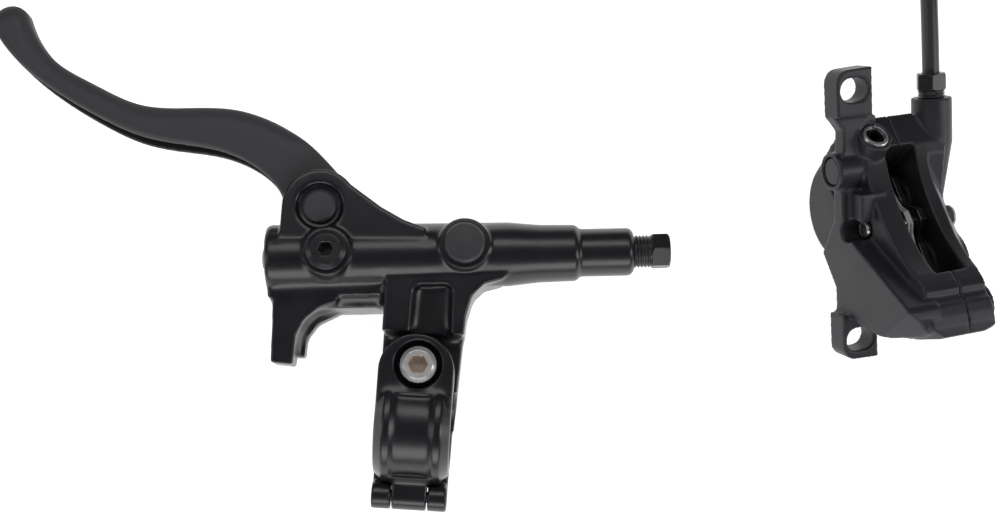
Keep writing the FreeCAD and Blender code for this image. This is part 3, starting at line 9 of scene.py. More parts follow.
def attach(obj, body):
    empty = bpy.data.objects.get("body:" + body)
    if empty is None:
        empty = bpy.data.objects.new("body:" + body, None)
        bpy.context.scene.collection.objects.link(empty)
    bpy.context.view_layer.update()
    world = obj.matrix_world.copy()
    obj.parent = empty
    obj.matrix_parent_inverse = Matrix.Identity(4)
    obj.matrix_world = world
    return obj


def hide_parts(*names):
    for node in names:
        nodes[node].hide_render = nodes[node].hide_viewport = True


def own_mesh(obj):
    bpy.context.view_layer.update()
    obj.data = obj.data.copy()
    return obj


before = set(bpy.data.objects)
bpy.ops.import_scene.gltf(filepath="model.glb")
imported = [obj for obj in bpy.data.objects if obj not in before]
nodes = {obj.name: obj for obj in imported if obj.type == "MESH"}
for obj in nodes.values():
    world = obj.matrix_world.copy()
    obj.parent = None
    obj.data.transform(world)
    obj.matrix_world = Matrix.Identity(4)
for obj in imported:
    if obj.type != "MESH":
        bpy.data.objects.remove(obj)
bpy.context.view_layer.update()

# Lever body: one aluminium casting that holds the master cylinder, the reservoir chamber, the pivot
# ears, the brace leg and the rear half of the bar clamp. It is sprayed gloss black, so it needs a
# skin that is nearly smooth, with rounded edges that catch the lamps.


def cast_skin():
    """Tone is a slow noise plus three tenths of a finer one. Height is the fine noise plus Swell times a
    coarser one."""
    group = bpy.data.node_groups.new("cast_skin", "ShaderNodeTree")
    face = group.interface
    for label, start in (("Tone scale", 60.0), ("Grain scale", 2200.0), ("Swell", 0.4)):
        face.new_socket(label, in_out="INPUT", socket_type="NodeSocketFloat").default_value = start
    for label in ("Tone", "Height"):
        face.new_socket(label, in_out="OUTPUT", socket_type="NodeSocketFloat")
    add = group.nodes.new
    link = group.links.new
    given, gives, place = add("NodeGroupInput"), add("NodeGroupOutput"), add("ShaderNodeTexCoord")
    slow, fine, swell = add("ShaderNodeTexNoise"), add("ShaderNodeTexNoise"), add("ShaderNodeTexNoise")
    times, mix, height = add("ShaderNodeMath"), add("ShaderNodeMath"), add("ShaderNodeMath")
    swell_scale, fine_share = 0.35, 0.3
    times.operation, times.inputs[1].default_value = "MULTIPLY", swell_scale
    mix.operation, mix.inputs[1].default_value = "MULTIPLY_ADD", fine_share
    height.operation = "MULTIPLY_ADD"
    slow.inputs["Detail"].default_value = 4.0
    fine.inputs["Detail"].default_value = 2.0
    for noise in (slow, fine, swell):
        link(place.outputs["Object"], noise.inputs["Vector"])
    link(given.outputs["Tone scale"], slow.inputs["Scale"])
    link(given.outputs["Grain scale"], fine.inputs["Scale"])
    link(given.outputs["Grain scale"], times.inputs[0])
    link(times.outputs[0], swell.inputs["Scale"])
    link(fine.outputs["Fac"], mix.inputs[0])
    link(slow.outputs["Fac"], mix.inputs[2])
    link(mix.outputs[0], gives.inputs["Tone"])
    link(swell.outputs["Fac"], height.inputs[0])
    link(given.outputs["Swell"], height.inputs[1])
    link(fine.outputs["Fac"], height.inputs[2])
    link(height.outputs[0], gives.inputs["Height"])
    return group


def soft_edge():
    """Normal is the shading normal rounded over a given radius. Edge is how far it turns from the true
    one, from 0 where they agree to 1 where their cosine is 0.8."""
    group = bpy.data.node_groups.new("soft_edge", "ShaderNodeTree")
    face = group.interface
    face.new_socket("Radius", in_out="INPUT", socket_type="NodeSocketFloat").default_value = 0.0004
    face.new_socket("Edge", in_out="OUTPUT", socket_type="NodeSocketFloat")
    face.new_socket("Normal", in_out="OUTPUT", socket_type="NodeSocketVector")
    add = group.nodes.new
    link = group.links.new
    given, gives, bend = add("NodeGroupInput"), add("NodeGroupOutput"), add("ShaderNodeBevel")
    true, dot, turn = add("ShaderNodeNewGeometry"), add("ShaderNodeVectorMath"), add("ShaderNodeMapRange")
    bend.samples = 6
    dot.operation = "DOT_PRODUCT"
    for socket, level in (("From Min", 1.0), ("From Max", 0.8)):
        turn.inputs[socket].default_value = level
    link(given.outputs["Radius"], bend.inputs["Radius"])
    link(bend.outputs["Normal"], dot.inputs[0])
    link(true.outputs["True Normal"], dot.inputs[1])
    link(dot.outputs["Value"], turn.inputs["Value"])
    link(turn.outputs["Result"], gives.inputs["Edge"])
    link(bend.outputs["Normal"], gives.inputs["Normal"])
    return group


def round_spot():
    """Mask is 1 where the distance from the line through Centre along Axis is less than Radius, else 0."""
    group = bpy.data.node_groups.new("round_spot", "ShaderNodeTree")
    face = group.interface
    for label in ("Centre", "Axis"):
        face.new_socket(label, in_out="INPUT", socket_type="NodeSocketVector")
    face.new_socket("Radius", in_out="INPUT", socket_type="NodeSocketFloat").default_value = 0.001
    face.new_socket("Mask", in_out="OUTPUT", socket_type="NodeSocketFloat")
    add = group.nodes.new
    link = group.links.new
    given, gives, place = add("NodeGroupInput"), add("NodeGroupOutput"), add("ShaderNodeTexCoord")
    offset, turned = add("ShaderNodeVectorMath"), add("ShaderNodeVectorMath")
    far, inside = add("ShaderNodeVectorMath"), add("ShaderNodeMath")
    offset.operation, turned.operation, far.operation = "SUBTRACT", "CROSS_PRODUCT", "LENGTH"
    inside.operation = "LESS_THAN"
    link(place.outputs["Object"], offset.inputs[0])
    link(given.outputs["Centre"], offset.inputs[1])
    link(offset.outputs[0], turned.inputs[0])
    link(given.outputs["Axis"], turned.inputs[1])
    link(turned.outputs[0], far.inputs[0])
    link(far.outputs["Value"], inside.inputs[0])
    link(given.outputs["Radius"], inside.inputs[1])
    link(inside.outputs[0], gives.inputs["Mask"])
    return group


SKIN = cast_skin()
EDGE = soft_edge()
SPOT = round_spot()
TONE_LOW, TONE_HIGH = 0.35, 0.95
BUMP_DEPTH = 0.0002
COAT_ROUGHNESS = 0.24


def finish(name, dark, light, rough, wear_and_highlight_colour=None, wear_and_highlight_amount=0.5, metal=0.0, coat=0.0, radius=0.0004,
           tone=60.0, grain=2200.0, bump=0.08, spot=None):
    """Colour runs from dark to light with the skin's tone, and on edges to a lighter colour that is partly
    wear and partly painted highlight. Inside a spot given by its centre, axis, radius and colour it is that
    colour, which is painted light in a socket. Roughness follows the tone."""
    made = bpy.data.materials.new(name)
    made.use_nodes = True
    tree = made.node_tree
    add = tree.nodes.new
    link = tree.links.new
    shader = tree.nodes["Principled BSDF"]
    skin, edge, bumps = add("ShaderNodeGroup"), add("ShaderNodeGroup"), add("ShaderNodeBump")
    blend, rim, matt = add("ShaderNodeMix"), add("ShaderNodeMix"), add("ShaderNodeMapRange")
    skin.node_tree, edge.node_tree = SKIN, EDGE
    skin.inputs["Tone scale"].default_value = tone
    skin.inputs["Grain scale"].default_value = grain
    edge.inputs["Radius"].default_value = radius
    for mix in (blend, rim):
        mix.data_type = "RGBA"
    blend.inputs["A"].default_value = (*dark, 1)
    blend.inputs["B"].default_value = (*light, 1)
    # Edges take a lighter colour, partly wear and partly painted highlight.
    rim.inputs["B"].default_value = (*(wear_and_highlight_colour or light), 1)
    scale = add("ShaderNodeMath")
    scale.operation, scale.inputs[1].default_value = "MULTIPLY", wear_and_highlight_amount
    matt.inputs["From Min"].default_value = TONE_LOW
    matt.inputs["From Max"].default_value = TONE_HIGH
    matt.inputs["To Min"].default_value = rough[0]
    matt.inputs["To Max"].default_value = rough[1]
    bumps.inputs["Strength"].default_value = bump
    bumps.inputs["Distance"].default_value = BUMP_DEPTH
    shader.inputs["Metallic"].default_value = metal
    shader.inputs["Coat Weight"].default_value = coat
    shader.inputs["Coat Roughness"].default_value = COAT_ROUGHNESS
    link(skin.outputs["Tone"], blend.inputs["Factor"])
    link(blend.outputs["Result"], rim.inputs["A"])
    link(edge.outputs["Edge"], scale.inputs[0])
    link(scale.outputs[0], rim.inputs["Factor"])
    link(rim.outputs["Result"], shader.inputs["Base Color"])
    # The spot's colour is painted light in a socket: the clamp bolt's painted reflection, the bleed screw's
    # painted shade.
    if spot:
        round_it, inner = add("ShaderNodeGroup"), add("ShaderNodeMix")
        round_it.node_tree, inner.data_type = SPOT, "RGBA"
        for socket, level in zip(("Centre", "Axis", "Radius"), spot):
            round_it.inputs[socket].default_value = level
        inner.inputs["B"].default_value = (*spot[3], 1)
        link(round_it.outputs["Mask"], inner.inputs["Factor"])
        link(rim.outputs["Result"], inner.inputs["A"])
        link(inner.outputs["Result"], shader.inputs["Base Color"])
    link(skin.outputs["Tone"], matt.inputs["Value"])
    link(matt.outputs["Result"], shader.inputs["Roughness"])
    link(skin.outputs["Height"], bumps.inputs["Height"])
    link(edge.outputs["Normal"], bumps.inputs["Normal"])
    link(bumps.outputs["Normal"], shader.inputs["Normal"])
    return made


def dress(made, *names):
    """Give one finish to each named node of the frame."""
    for name in names:
        slots = nodes[name].data.materials
        slots.clear()
        slots.append(made)


CASTING_SOLIDS = ("lever_body", "lever_nose", "brace_leg", "clamp_perch")
gloss_black = finish("gloss_black_paint", (0.006, 0.006, 0.008), (0.011, 0.011, 0.014), (0.27, 0.37),
                     wear_and_highlight_colour=(0.03, 0.03, 0.036), wear_and_highlight_amount=0.3, coat=0.22, radius=0.0006, tone=90.0,
                     grain=1500.0, bump=0.02)
dress(gloss_black, *CASTING_SOLIDS)
SAME_PLACE = 1e-7


def one_skin(name, sources, voxel):
    """The named solids as one closed skin of small squares, each about a voxel wide."""
    shell = bmesh.new()
    for source in sources:
        shell.from_mesh(nodes[source].data)
    bmesh.ops.remove_doubles(shell, verts=shell.verts, dist=SAME_PLACE)
    rough = bpy.data.meshes.new(name + "_rough")
    shell.to_mesh(rough)
    shell.free()
    held = bpy.data.objects.new(name + "_rough", rough)
    bpy.context.scene.collection.objects.link(held)
    knit = held.modifiers.new("knit", "REMESH")
    knit.mode = "VOXEL"
    knit.voxel_size = voxel
    skin = bpy.data.meshes.new_from_object(held.evaluated_get(bpy.context.evaluated_depsgraph_get()))
    bpy.data.objects.remove(held)
    bpy.data.meshes.remove(rough)
    skin.name = name
    return skin


def vertex_places(mesh):
    """The mesh's vertices as rows of x, y and z."""
    place = np.empty(len(mesh.vertices) * 3)
    mesh.vertices.foreach_get("co", place)
    return place.reshape(-1, 3)


NORMALS_EVERY = 4


def soften(mesh, edge_passes, fillet_passes, fillet_weight):
    """Each edge pass moves a vertex half way to the mean of its neighbours, which rounds every edge. Each
    fillet pass does so times the weight, and only where that mean lies outwards, so that hollow corners
    fill to a fillet while outer edges keep their shape."""
    place = vertex_places(mesh)
    count = len(place)
    edges = np.empty(len(mesh.edges) * 2, dtype=np.int64)
    mesh.edges.foreach_get("vertices", edges)
    first, second = edges.reshape(-1, 2).T
    near = np.bincount(first, minlength=count) + np.bincount(second, minlength=count)
    normal = np.empty(count * 3)
    for step in range(edge_passes + fillet_passes):
        total = np.stack([np.bincount(first, place[second, k], count)
                          + np.bincount(second, place[first, k], count) for k in range(3)], axis=1)
        move = 0.5 * (total / near[:, None] - place)
        if step >= edge_passes:
            if (step - edge_passes) % NORMALS_EVERY == 0:
                mesh.vertices.foreach_set("co", place.ravel())
                mesh.update()
                mesh.vertex_normals.foreach_get("vector", normal)
            outwards = (move * normal.reshape(-1, 3)).sum(axis=1) > 0
            move *= (outwards * fillet_weight)[:, None]
        place += move
    mesh.vertices.foreach_set("co", place.ravel())
    mesh.polygons.foreach_set("use_smooth", np.ones(len(mesh.polygons), dtype=bool))
    mesh.update()


def thinned(mesh, share):
    """The same skin with its least needed edges collapsed until the given share of its triangles is left."""
    held = bpy.data.objects.new(mesh.name + "_full", mesh)
    bpy.context.scene.collection.objects.link(held)
    collapse = held.modifiers.new("collapse", "DECIMATE")
    collapse.ratio = share
    thin = bpy.data.meshes.new_from_object(held.evaluated_get(bpy.context.evaluated_depsgraph_get()))
    name = mesh.name
    bpy.data.objects.remove(held)
    bpy.data.meshes.remove(mesh)
    thin.name = name
    return thin


def seat(name, mesh, made, body, slot, *replaced):
    """A finished piece from its mesh, on its body, in place of the plain solids that it stands for."""
    mesh.materials.append(made)
    piece = bpy.data.objects.new(name, mesh)
    bpy.context.scene.collection.objects.link(piece)
    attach(piece, body)
    if replaced:
        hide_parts(*replaced)
    return piece


BAR_CENTRE = (-0.048339, 0.0161)
BAR_CLEAR = 0.0118


def off_bar(place):
    """True for each vertex farther from the handlebar's middle line, given by its y and z, than the bore's
    wall, so that the bore keeps its shape."""
    return np.hypot(place[:, 1] - BAR_CENTRE[0], place[:, 2] - BAR_CENTRE[1]) > BAR_CLEAR


CASTING_VOXEL, CASTING_SHARE = 0.0004, 0.58
FILLET_TOP, FILLET_FADE = -0.006, 0.003
casting = one_skin("lever_casting", CASTING_SOLIDS, CASTING_VOXEL)
place = vertex_places(casting)
below_barrel = np.clip((FILLET_TOP - place[:, 1]) / FILLET_FADE, 0, 1)
soften(casting, edge_passes=6, fillet_passes=160, fillet_weight=below_barrel * off_bar(place))
casting = thinned(casting, CASTING_SHARE)
seat("lever_casting", casting, gloss_black, "frame", "gloss_black", *CASTING_SOLIDS)

# Bar clamp: the hinged front half carries the same paint. Its stainless bolt has a hexagon socket painted a
# warm colour inside as a painted reflection, and a dark pin through the knuckles lets the band swing open.
BAND_VOXEL = 0.0003
KNUCKLE_TOP = -0.0665
dress(gloss_black, "clamp_band")
band = one_skin("clamp_band_casting", ("clamp_band",), BAND_VOXEL)
place = vertex_places(band)
soften(band, edge_passes=6, fillet_passes=120, fillet_weight=off_bar(place) * (place[:, 1] > KNUCKLE_TOP))
seat("clamp_band_casting", band, gloss_black, "frame", "gloss_black", "clamp_band")
TURNED_GRAIN = dict(tone=300.0, grain=3000.0, bump=0.05)
BOLT_HEAD, BOLT_SOCKET_REFLECTION_RADIUS = (-0.014538, -0.030539, 0.0), 0.00295
dark_steel = finish("dark_steel", (0.05, 0.05, 0.055), (0.09, 0.09, 0.1), (0.3, 0.45), metal=1.0,
                    radius=0.0002, **TURNED_GRAIN)
# The clamp bolt's socket takes a warm colour as a painted reflection.
bolt_steel = finish("bolt_steel", (0.62, 0.61, 0.60), (0.8, 0.79, 0.78), (0.2, 0.36), wear_and_highlight_colour=(0.9, 0.9, 0.9),
                    metal=0.55, radius=0.0003, **TURNED_GRAIN,
                    spot=(BOLT_HEAD, (0, 0, 1), BOLT_SOCKET_REFLECTION_RADIUS, (0.74, 0.62, 0.53)))
dress(bolt_steel, "clamp_bolt")
dress(dark_steel, "clamp_hinge_pin")

# Lever blade: a forged channel, bead blasted and anodised to a matt dark grey. It swings on two pale
# resin bushings round a steel pivot pin whose cap has the blade's finish.
matt_black = finish("matt_anodised", (0.036, 0.035, 0.039), (0.05, 0.049, 0.054), (0.5, 0.62),
                    wear_and_highlight_colour=(0.09, 0.09, 0.1), wear_and_highlight_amount=0.6, radius=0.0007, tone=70.0, grain=2600.0, bump=0.1)
dress(matt_black, "lever_blade", "pivot_pin")
# Near black finish for the faces inside the blade's channel: painted shade.
channel_painted_shade = finish("channel_painted_shade", (0.004, 0.004, 0.005), (0.008, 0.008, 0.009), (0.5, 0.65),
                       radius=0.0003, tone=120.0, grain=2400.0, bump=0.1)
EDGE_SPAN = 4


def smooth_edge(place, pick, stations):
    """The highest or lowest y at each station along x, averaged over the span on both sides with a rising
    and falling weight, and the cosine of its slope."""
    slot = np.rint((place[:, 0] - stations[0]) / (stations[1] - stations[0]))
    slot = np.clip(slot, 0, len(stations) - 1).astype(int)
    edge = np.full(len(stations), -np.inf if pick is np.maximum else np.inf)
    pick.at(edge, slot, place[:, 1])
    weight = np.hanning(2 * EDGE_SPAN + 3)[1:-1]
    edge = np.convolve(np.pad(edge, EDGE_SPAN, mode="edge"), weight / weight.sum(), mode="valid")
    return edge, np.cos(np.arctan(np.gradient(edge, stations)))


def face_rows(mesh, what):
    """One row of x, y and z for each face of the mesh: its center or its normal."""
    row = np.empty(len(mesh.polygons) * 3)
    mesh.polygons.foreach_get(what, row)
    return row.reshape(-1, 3)


# The crown draws both cheeks toward the middle plane near the finger side, by the square of one less
# the distance from that side over a width. The bow draws the open edge of the upper cheek inward, by
# half a sine wave along the blade.
BLADE_VOXEL = 0.00035
BLADE_TIP, BLADE_ROOT, BLADE_STATIONS = -0.1505, -0.052, 198
BLADE_MIDDLE, BLADE_HALF = 0.0161, 0.005
CROWN_DROP, CROWN_WIDTH, CROWN_FADE = 0.0024, 0.0058, 0.006
BOW_DEPTH, BOW_WIDTH, BOW_START, BOW_LENGTH = 0.0016, 0.009, -0.147, 0.085
blade = one_skin("blade_forging", ("lever_blade",), BLADE_VOXEL)
place = vertex_places(blade)
stations = np.linspace(BLADE_TIP, BLADE_ROOT, BLADE_STATIONS)
finger_side, finger_slope = smooth_edge(place, np.maximum, stations)
bar_side, bar_slope = smooth_edge(place, np.minimum, stations)
from_finger = np.interp(place[:, 0], stations, finger_side) - place[:, 1]
from_finger = from_finger * np.interp(place[:, 0], stations, finger_slope)
from_bar_side = place[:, 1] - np.interp(place[:, 0], stations, bar_side)
from_bar_side = from_bar_side * np.interp(place[:, 0], stations, bar_slope)
share = (place[:, 2] - BLADE_MIDDLE) / BLADE_HALF
reach = np.clip((place[:, 0] - BLADE_ROOT) / -CROWN_FADE, 0, 1)
fall = np.clip(1 - from_finger / CROWN_WIDTH, 0, 1) ** 2
open_side = np.clip(1 - from_bar_side / BOW_WIDTH, 0, 1)
along = np.clip((place[:, 0] - BOW_START) / BOW_LENGTH, 0, 1)
place[:, 2] -= CROWN_DROP * share * fall * reach
place[:, 1] += BOW_DEPTH * np.sin(np.pi * along) * open_side * np.clip(share, 0, 1)
blade.vertices.foreach_set("co", place.ravel())
soften(blade, edge_passes=10, fillet_passes=80, fillet_weight=np.ones(len(blade.vertices)))
seat("blade_forging", blade, matt_black, "blade", "satin_black", "lever_blade")
blade.materials.append(channel_painted_shade)
# Faces near the middle plane and less than a depth from the bar side, short of the root, take the near black
# finish as painted shade.
CHANNEL_HALF, CHANNEL_DEPTH, CHANNEL_END = 0.00285, 0.009, -0.056
middle = face_rows(blade, "center")
deep = middle[:, 1] - np.interp(middle[:, 0], stations, bar_side)
channel = (np.abs(middle[:, 2] - BLADE_MIDDLE) < CHANNEL_HALF) & (deep < CHANNEL_DEPTH)
channel &= middle[:, 0] < CHANNEL_END
blade.polygons.foreach_set("material_index", channel.astype(np.int32))
pale_resin = finish("pale_resin", (0.6, 0.58, 0.5), (0.7, 0.68, 0.6), (0.4, 0.55), radius=0.0001)
dress(pale_resin, "pivot_bushings")
dress(dark_steel, "reach_screw")

# Master cylinder: rod, piston, two rubber cups, spring and stop ring lie inside the barrel, and a
# domed plastic cap closes its left end.
turned_alloy = finish("turned_alloy", (0.5, 0.5, 0.52), (0.66, 0.66, 0.68), (0.25, 0.4), metal=1.0,
                      radius=0.0001)
spring_wire = finish("spring_wire", (0.34, 0.34, 0.35), (0.5, 0.5, 0.5), (0.25, 0.35), metal=1.0,
                     radius=0.0001)
black_rubber = finish("black_rubber", (0.012, 0.012, 0.012), (0.025, 0.025, 0.025), (0.6, 0.8),
                      radius=0.0002, bump=0.15)
black_resin = finish("black_resin", (0.03, 0.03, 0.033), (0.048, 0.047, 0.051), (0.34, 0.5),
                     wear_and_highlight_colour=(0.06, 0.06, 0.065), radius=0.0006, tone=120.0, grain=1200.0, bump=0.12)
dress(turned_alloy, "pushrod", "master_piston")
dress(black_rubber, "primary_seal", "secondary_seal")
dress(spring_wire, "return_spring", "piston_stop_ring")
BARREL_AXIS = (0.996493, 0.083678, 0.0)
BARREL_POINT = (-0.000351, 0.004174, 0.0161)
TURN_STEPS, WIRE_SIDES = 48, 12


def axis_frame(axis):
    """The axis as a unit vector, and two unit vectors square to it and to each other."""
    axis = np.array(axis) / np.linalg.norm(axis)
    first = np.cross(axis, (0.0, 0.0, 1.0))
    first /= np.linalg.norm(first)
    return axis, first, np.cross(axis, first)


def smooth_mesh(name, points, faces):
    """A mesh of the given name from its points and faces, shaded smooth."""
    made = bpy.data.meshes.new(name)
    made.from_pydata(points.reshape(-1, 3).tolist(), [], faces)
    made.polygons.foreach_set("use_smooth", np.ones(len(made.polygons), dtype=bool))
    made.update()
    return made


def wire_coil(name, point, axis, low, high, radius, wire, turns):
    """A round wire wound on a helix. Its middle goes round the axis by the turn and along it by the same
    share of the length. Its section is a circle in the plane of the radius and the direction square to
    the wire."""
    axis, first, second = axis_frame(axis)
    turn = np.linspace(0, 2 * np.pi * turns, int(TURN_STEPS * turns) + 1)[:, None]
    outward = np.cos(turn) * first + np.sin(turn) * second
    middle = np.array(point) + (low + (high - low) * turn / turn[-1]) * axis + radius * outward
    ahead = radius * (-np.sin(turn) * first + np.cos(turn) * second) + (high - low) / turn[-1] * axis
    upward = np.cross(ahead / np.linalg.norm(ahead, axis=1, keepdims=True), outward)
    around = np.linspace(0, 2 * np.pi, WIRE_SIDES, endpoint=False)[None, :, None]
    section = np.cos(around) * outward[:, None] + np.sin(around) * upward[:, None]
    verts = middle[:, None] + wire / 2 * section
    index = np.arange(verts.shape[0] * WIRE_SIDES).reshape(-1, WIRE_SIDES)
    beside = np.roll(index, -1, axis=1)
    quads = np.stack([index[:-1], index[1:], beside[1:], beside[:-1]], axis=-1).reshape(-1, 4)
    ends = [index[0].tolist(), index[-1][::-1].tolist()]
    return smooth_mesh(name, verts, quads.tolist() + ends)


SPRING_LOW, SPRING_HIGH, SPRING_STOP = -0.003726, 0.029298, 0.029698
SPRING_RADIUS, SPRING_WIRE, SPRING_TURNS = 0.0032, 0.0008, 8
coil = wire_coil("return_coil", BARREL_POINT, BARREL_AXIS, SPRING_LOW, SPRING_HIGH, SPRING_RADIUS,
                 SPRING_WIRE, SPRING_TURNS)
return_coil = seat("return_coil", coil, spring_wire, "frame", "spring_steel", "return_spring")
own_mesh(return_coil)
dress(black_resin, "barrel_end_cap")

# Reservoir: a rubber diaphragm lies in the chamber beside the barrel, behind a moulded plug that is
# turned by its socket.
dress(black_rubber, "reservoir_diaphragm")
dress(black_resin, "reservoir_plug")

# Bleed screw and port plug: the first is blackened steel with a polished cone and a deep socket on a
# rubber ring, the second a pushed-in resin plug.
black_steel = finish("blackened_steel", (0.02, 0.02, 0.022), (0.05, 0.05, 0.053), (0.24, 0.36),
                     wear_and_highlight_colour=(0.2, 0.2, 0.21), wear_and_highlight_amount=0.6, metal=0.6, radius=0.0004, tone=250.0, grain=1500.0,
                     bump=0.06)
dress(black_steel, "bleed_screw")
dress(black_rubber, "bleed_screw_seal")
dress(black_resin, "port_plug")

# Compression nut: blackened steel, screwed part of the way into the nose. The rest of its thread is
# open to view up to the hexagon.
dress(black_steel, "compression_nut")
ROUND_STEPS, PITCH_ROWS = 96, 14
THREAD_SUNK, THREAD_WALL = 0.00005, 0.0005
CREST_TOP, CREST_SLOPE, CREST_FADE = 1.25, 2.5, 0.3


def screw_thread(name, point, axis, low, high, radius, depth, pitch):
    """A cut thread as one closed ring. Round the axis by angle and along it by place, its radius is the
    core's plus depth times a rounded saw wave of (place over pitch less angle over a full turn), fading at
    both ends. Its inner wall lies inside the core."""
    axis, first, second = axis_frame(axis)
    angle = np.linspace(0, 2 * np.pi, ROUND_STEPS, endpoint=False)
    along = np.linspace(low, high, int((high - low) / pitch * PITCH_ROWS))
    turn = along[:, None] / pitch - angle[None, :] / (2 * np.pi)
    crest = np.clip(CREST_TOP - CREST_SLOPE * np.abs(turn - np.floor(turn) - 0.5), 0, 1)
    fade = np.clip(np.minimum(along - low, high - along) / (CREST_FADE * pitch), 0, 1)[:, None]
    outer = radius - THREAD_SUNK + (depth + THREAD_SUNK) * crest * fade
    rows = np.vstack([outer, np.full((2, len(angle)), radius - THREAD_WALL)])
    places = np.concatenate([along, [high, low]])
    ring = np.cos(angle)[:, None] * first + np.sin(angle)[:, None] * second
    verts = np.array(point) + places[:, None, None] * axis + rows[:, :, None] * ring[None, :, :]
    index = np.arange(rows.size).reshape(rows.shape)
    right, above = np.roll(index, -1, axis=1), np.roll(index, -1, axis=0)
    quads = np.stack([index, right, np.roll(right, -1, axis=0), above], axis=-1).reshape(-1, 4)
    return smooth_mesh(name, verts, quads.tolist())


nut_thread = screw_thread("nut_thread", BARREL_POINT, BARREL_AXIS, low=0.0473, high=0.0527,
                          radius=0.0044, depth=0.0005, pitch=0.00105)
seat("nut_thread", nut_thread, black_steel, "frame", "dark_steel")

# Caliper halves: forged, blasted and sprayed in a semi-matt black, bolted together at the middle. The
# walls of the window over the pads are painted near black, as painted shade where little lamp light reaches
# them.
satin_black = finish("satin_black_paint", (0.015, 0.015, 0.019), (0.025, 0.025, 0.03), (0.34, 0.48),
                     wear_and_highlight_colour=(0.1, 0.1, 0.11), radius=0.0006, tone=90.0, grain=2400.0, bump=0.1)
satin_black.node_tree.nodes["Principled BSDF"].inputs["Specular IOR Level"].default_value = 0.34
dress(satin_black, "caliper_outboard_half", "caliper_inboard_half")
window_painted_shade = finish("window_painted_shade", (0.005, 0.005, 0.006), (0.009, 0.009, 0.01), (0.4, 0.55), radius=0.0003,
                    tone=120.0, grain=2400.0)
FORGING_VOXEL, FORGING_SHARE = 0.00035, 0.75
WINDOW_CENTRE = np.array((0.128295, 0.023101, 0.035233))
WINDOW_AXES = np.array(((0.929, 0.246, -0.277), (-0.136, 0.922, 0.362), (0.345, -0.298, 0.890)))
WALL_REACH, END_REACH = 0.0095, 0.0058
WINDOW_HALF, WINDOW_TOP = 0.021, 0.008
FACES_IN = 0.5
for side in ("outboard", "inboard"):
    half = one_skin(side + "_forging", ("caliper_" + side + "_half",), FORGING_VOXEL)
    soften(half, edge_passes=3, fillet_passes=10, fillet_weight=np.ones(len(half.vertices)))
    half = thinned(half, FORGING_SHARE)
    seat(side + "_forging", half, satin_black, "frame", "caliper_grey", "caliper_" + side + "_half")
    half.materials.append(window_painted_shade)
    # Faces on the window's side walls and ends that face into it take the near black finish as painted
    # shade.
    facing = face_rows(half, "normal") @ WINDOW_AXES.T
    middle = (face_rows(half, "center") - WINDOW_CENTRE) @ WINDOW_AXES.T
    walls = (-np.sign(middle[:, 0]) * facing[:, 0] > FACES_IN) & (np.abs(middle[:, 0]) < WALL_REACH)
    ends = (-np.sign(middle[:, 1]) * facing[:, 1] > FACES_IN) & (np.abs(middle[:, 0]) < END_REACH)
    inside = (walls | ends) & (np.abs(middle[:, 1]) < WINDOW_HALF) & (middle[:, 2] < WINDOW_TOP)
    half.polygons.foreach_set("material_index", inside.astype(np.int32))

# Pistons and seals: four moulded pistons push on the pads, each in a square rubber ring that draws it
# back when the lever is let go.
dress(black_resin, "outboard_pistons", "inboard_pistons")
dress(black_rubber, "piston_seals")

# Pads: steel backings with resin-bonded linings, a bent wire spring between them, and a bright axle
# with a clip on its far end.
lining = finish("friction_lining", (0.07, 0.06, 0.05), (0.2, 0.17, 0.14), (0.8, 0.95), tone=900.0, bump=0.3,
                radius=0.0002)
plated_wire = finish("plated_wire", (0.45, 0.45, 0.43), (0.62, 0.62, 0.6), (0.34, 0.5), metal=0.35,
                     radius=0.0001, tone=400.0, grain=3000.0)
bright_steel = finish("bright_steel", (0.42, 0.41, 0.40), (0.62, 0.61, 0.60), (0.18, 0.34),
                      wear_and_highlight_colour=(0.8, 0.8, 0.8), metal=1.0, radius=0.0003, **TURNED_GRAIN)
dress(black_steel, "outboard_pad_backing", "inboard_pad_backing")
dress(lining, "outboard_pad_lining", "inboard_pad_lining")
dress(plated_wire, "pad_spring", "axle_clip")
dress(bright_steel, "pad_axle")

# Small parts of the caliper: the two body bolts, the bleed screw with its bright rim and the plug
# that closes the cross drilling. The middle of the bleed screw's head is painted near black, as painted
# shade in its socket.
BLEED_HEAD, BLEED_AXIS, BLEED_SOCKET_SHADE_RADIUS = (0.11326, 0.04154, 0.03224), (0.1384, 0.4638, 0.875), 0.0029
# A near black spot in the bleed screw's socket is painted shade.
bleed_steel = finish("bleed_steel", (0.5, 0.5, 0.5), (0.66, 0.66, 0.66), (0.22, 0.36), wear_and_highlight_colour=(0.8, 0.8, 0.8),
                     metal=1.0, radius=0.0002, **TURNED_GRAIN,
                     spot=(BLEED_HEAD, BLEED_AXIS, BLEED_SOCKET_SHADE_RADIUS, (0.02, 0.02, 0.022)))
dress(black_steel, "caliper_body_bolts")
dress(bleed_steel, "caliper_bleed_screw")
dress(satin_black, "passage_plug")

# Hose joint: a blackened nut presses a brass olive onto the hose. A little of its thread shows above
# the boss.
HOSE_NUT_POINT, HOSE_NUT_AXIS = (0.138988, 0.016783, 0.009544), (-0.1362, 0.9223, 0.3616)
brass = finish("plain_brass", (0.5, 0.36, 0.16), (0.62, 0.46, 0.22), (0.25, 0.4), metal=1.0, radius=0.0001)
dress(black_steel, "hose_nut")
hose_thread = screw_thread("hose_nut_thread", HOSE_NUT_POINT, HOSE_NUT_AXIS, low=0.0455, high=0.0477,
                           radius=0.0036, depth=0.00034, pitch=0.0008)
seat("hose_nut_thread", hose_thread, black_steel, "frame", "dark_steel")
dress(brass, "olive")

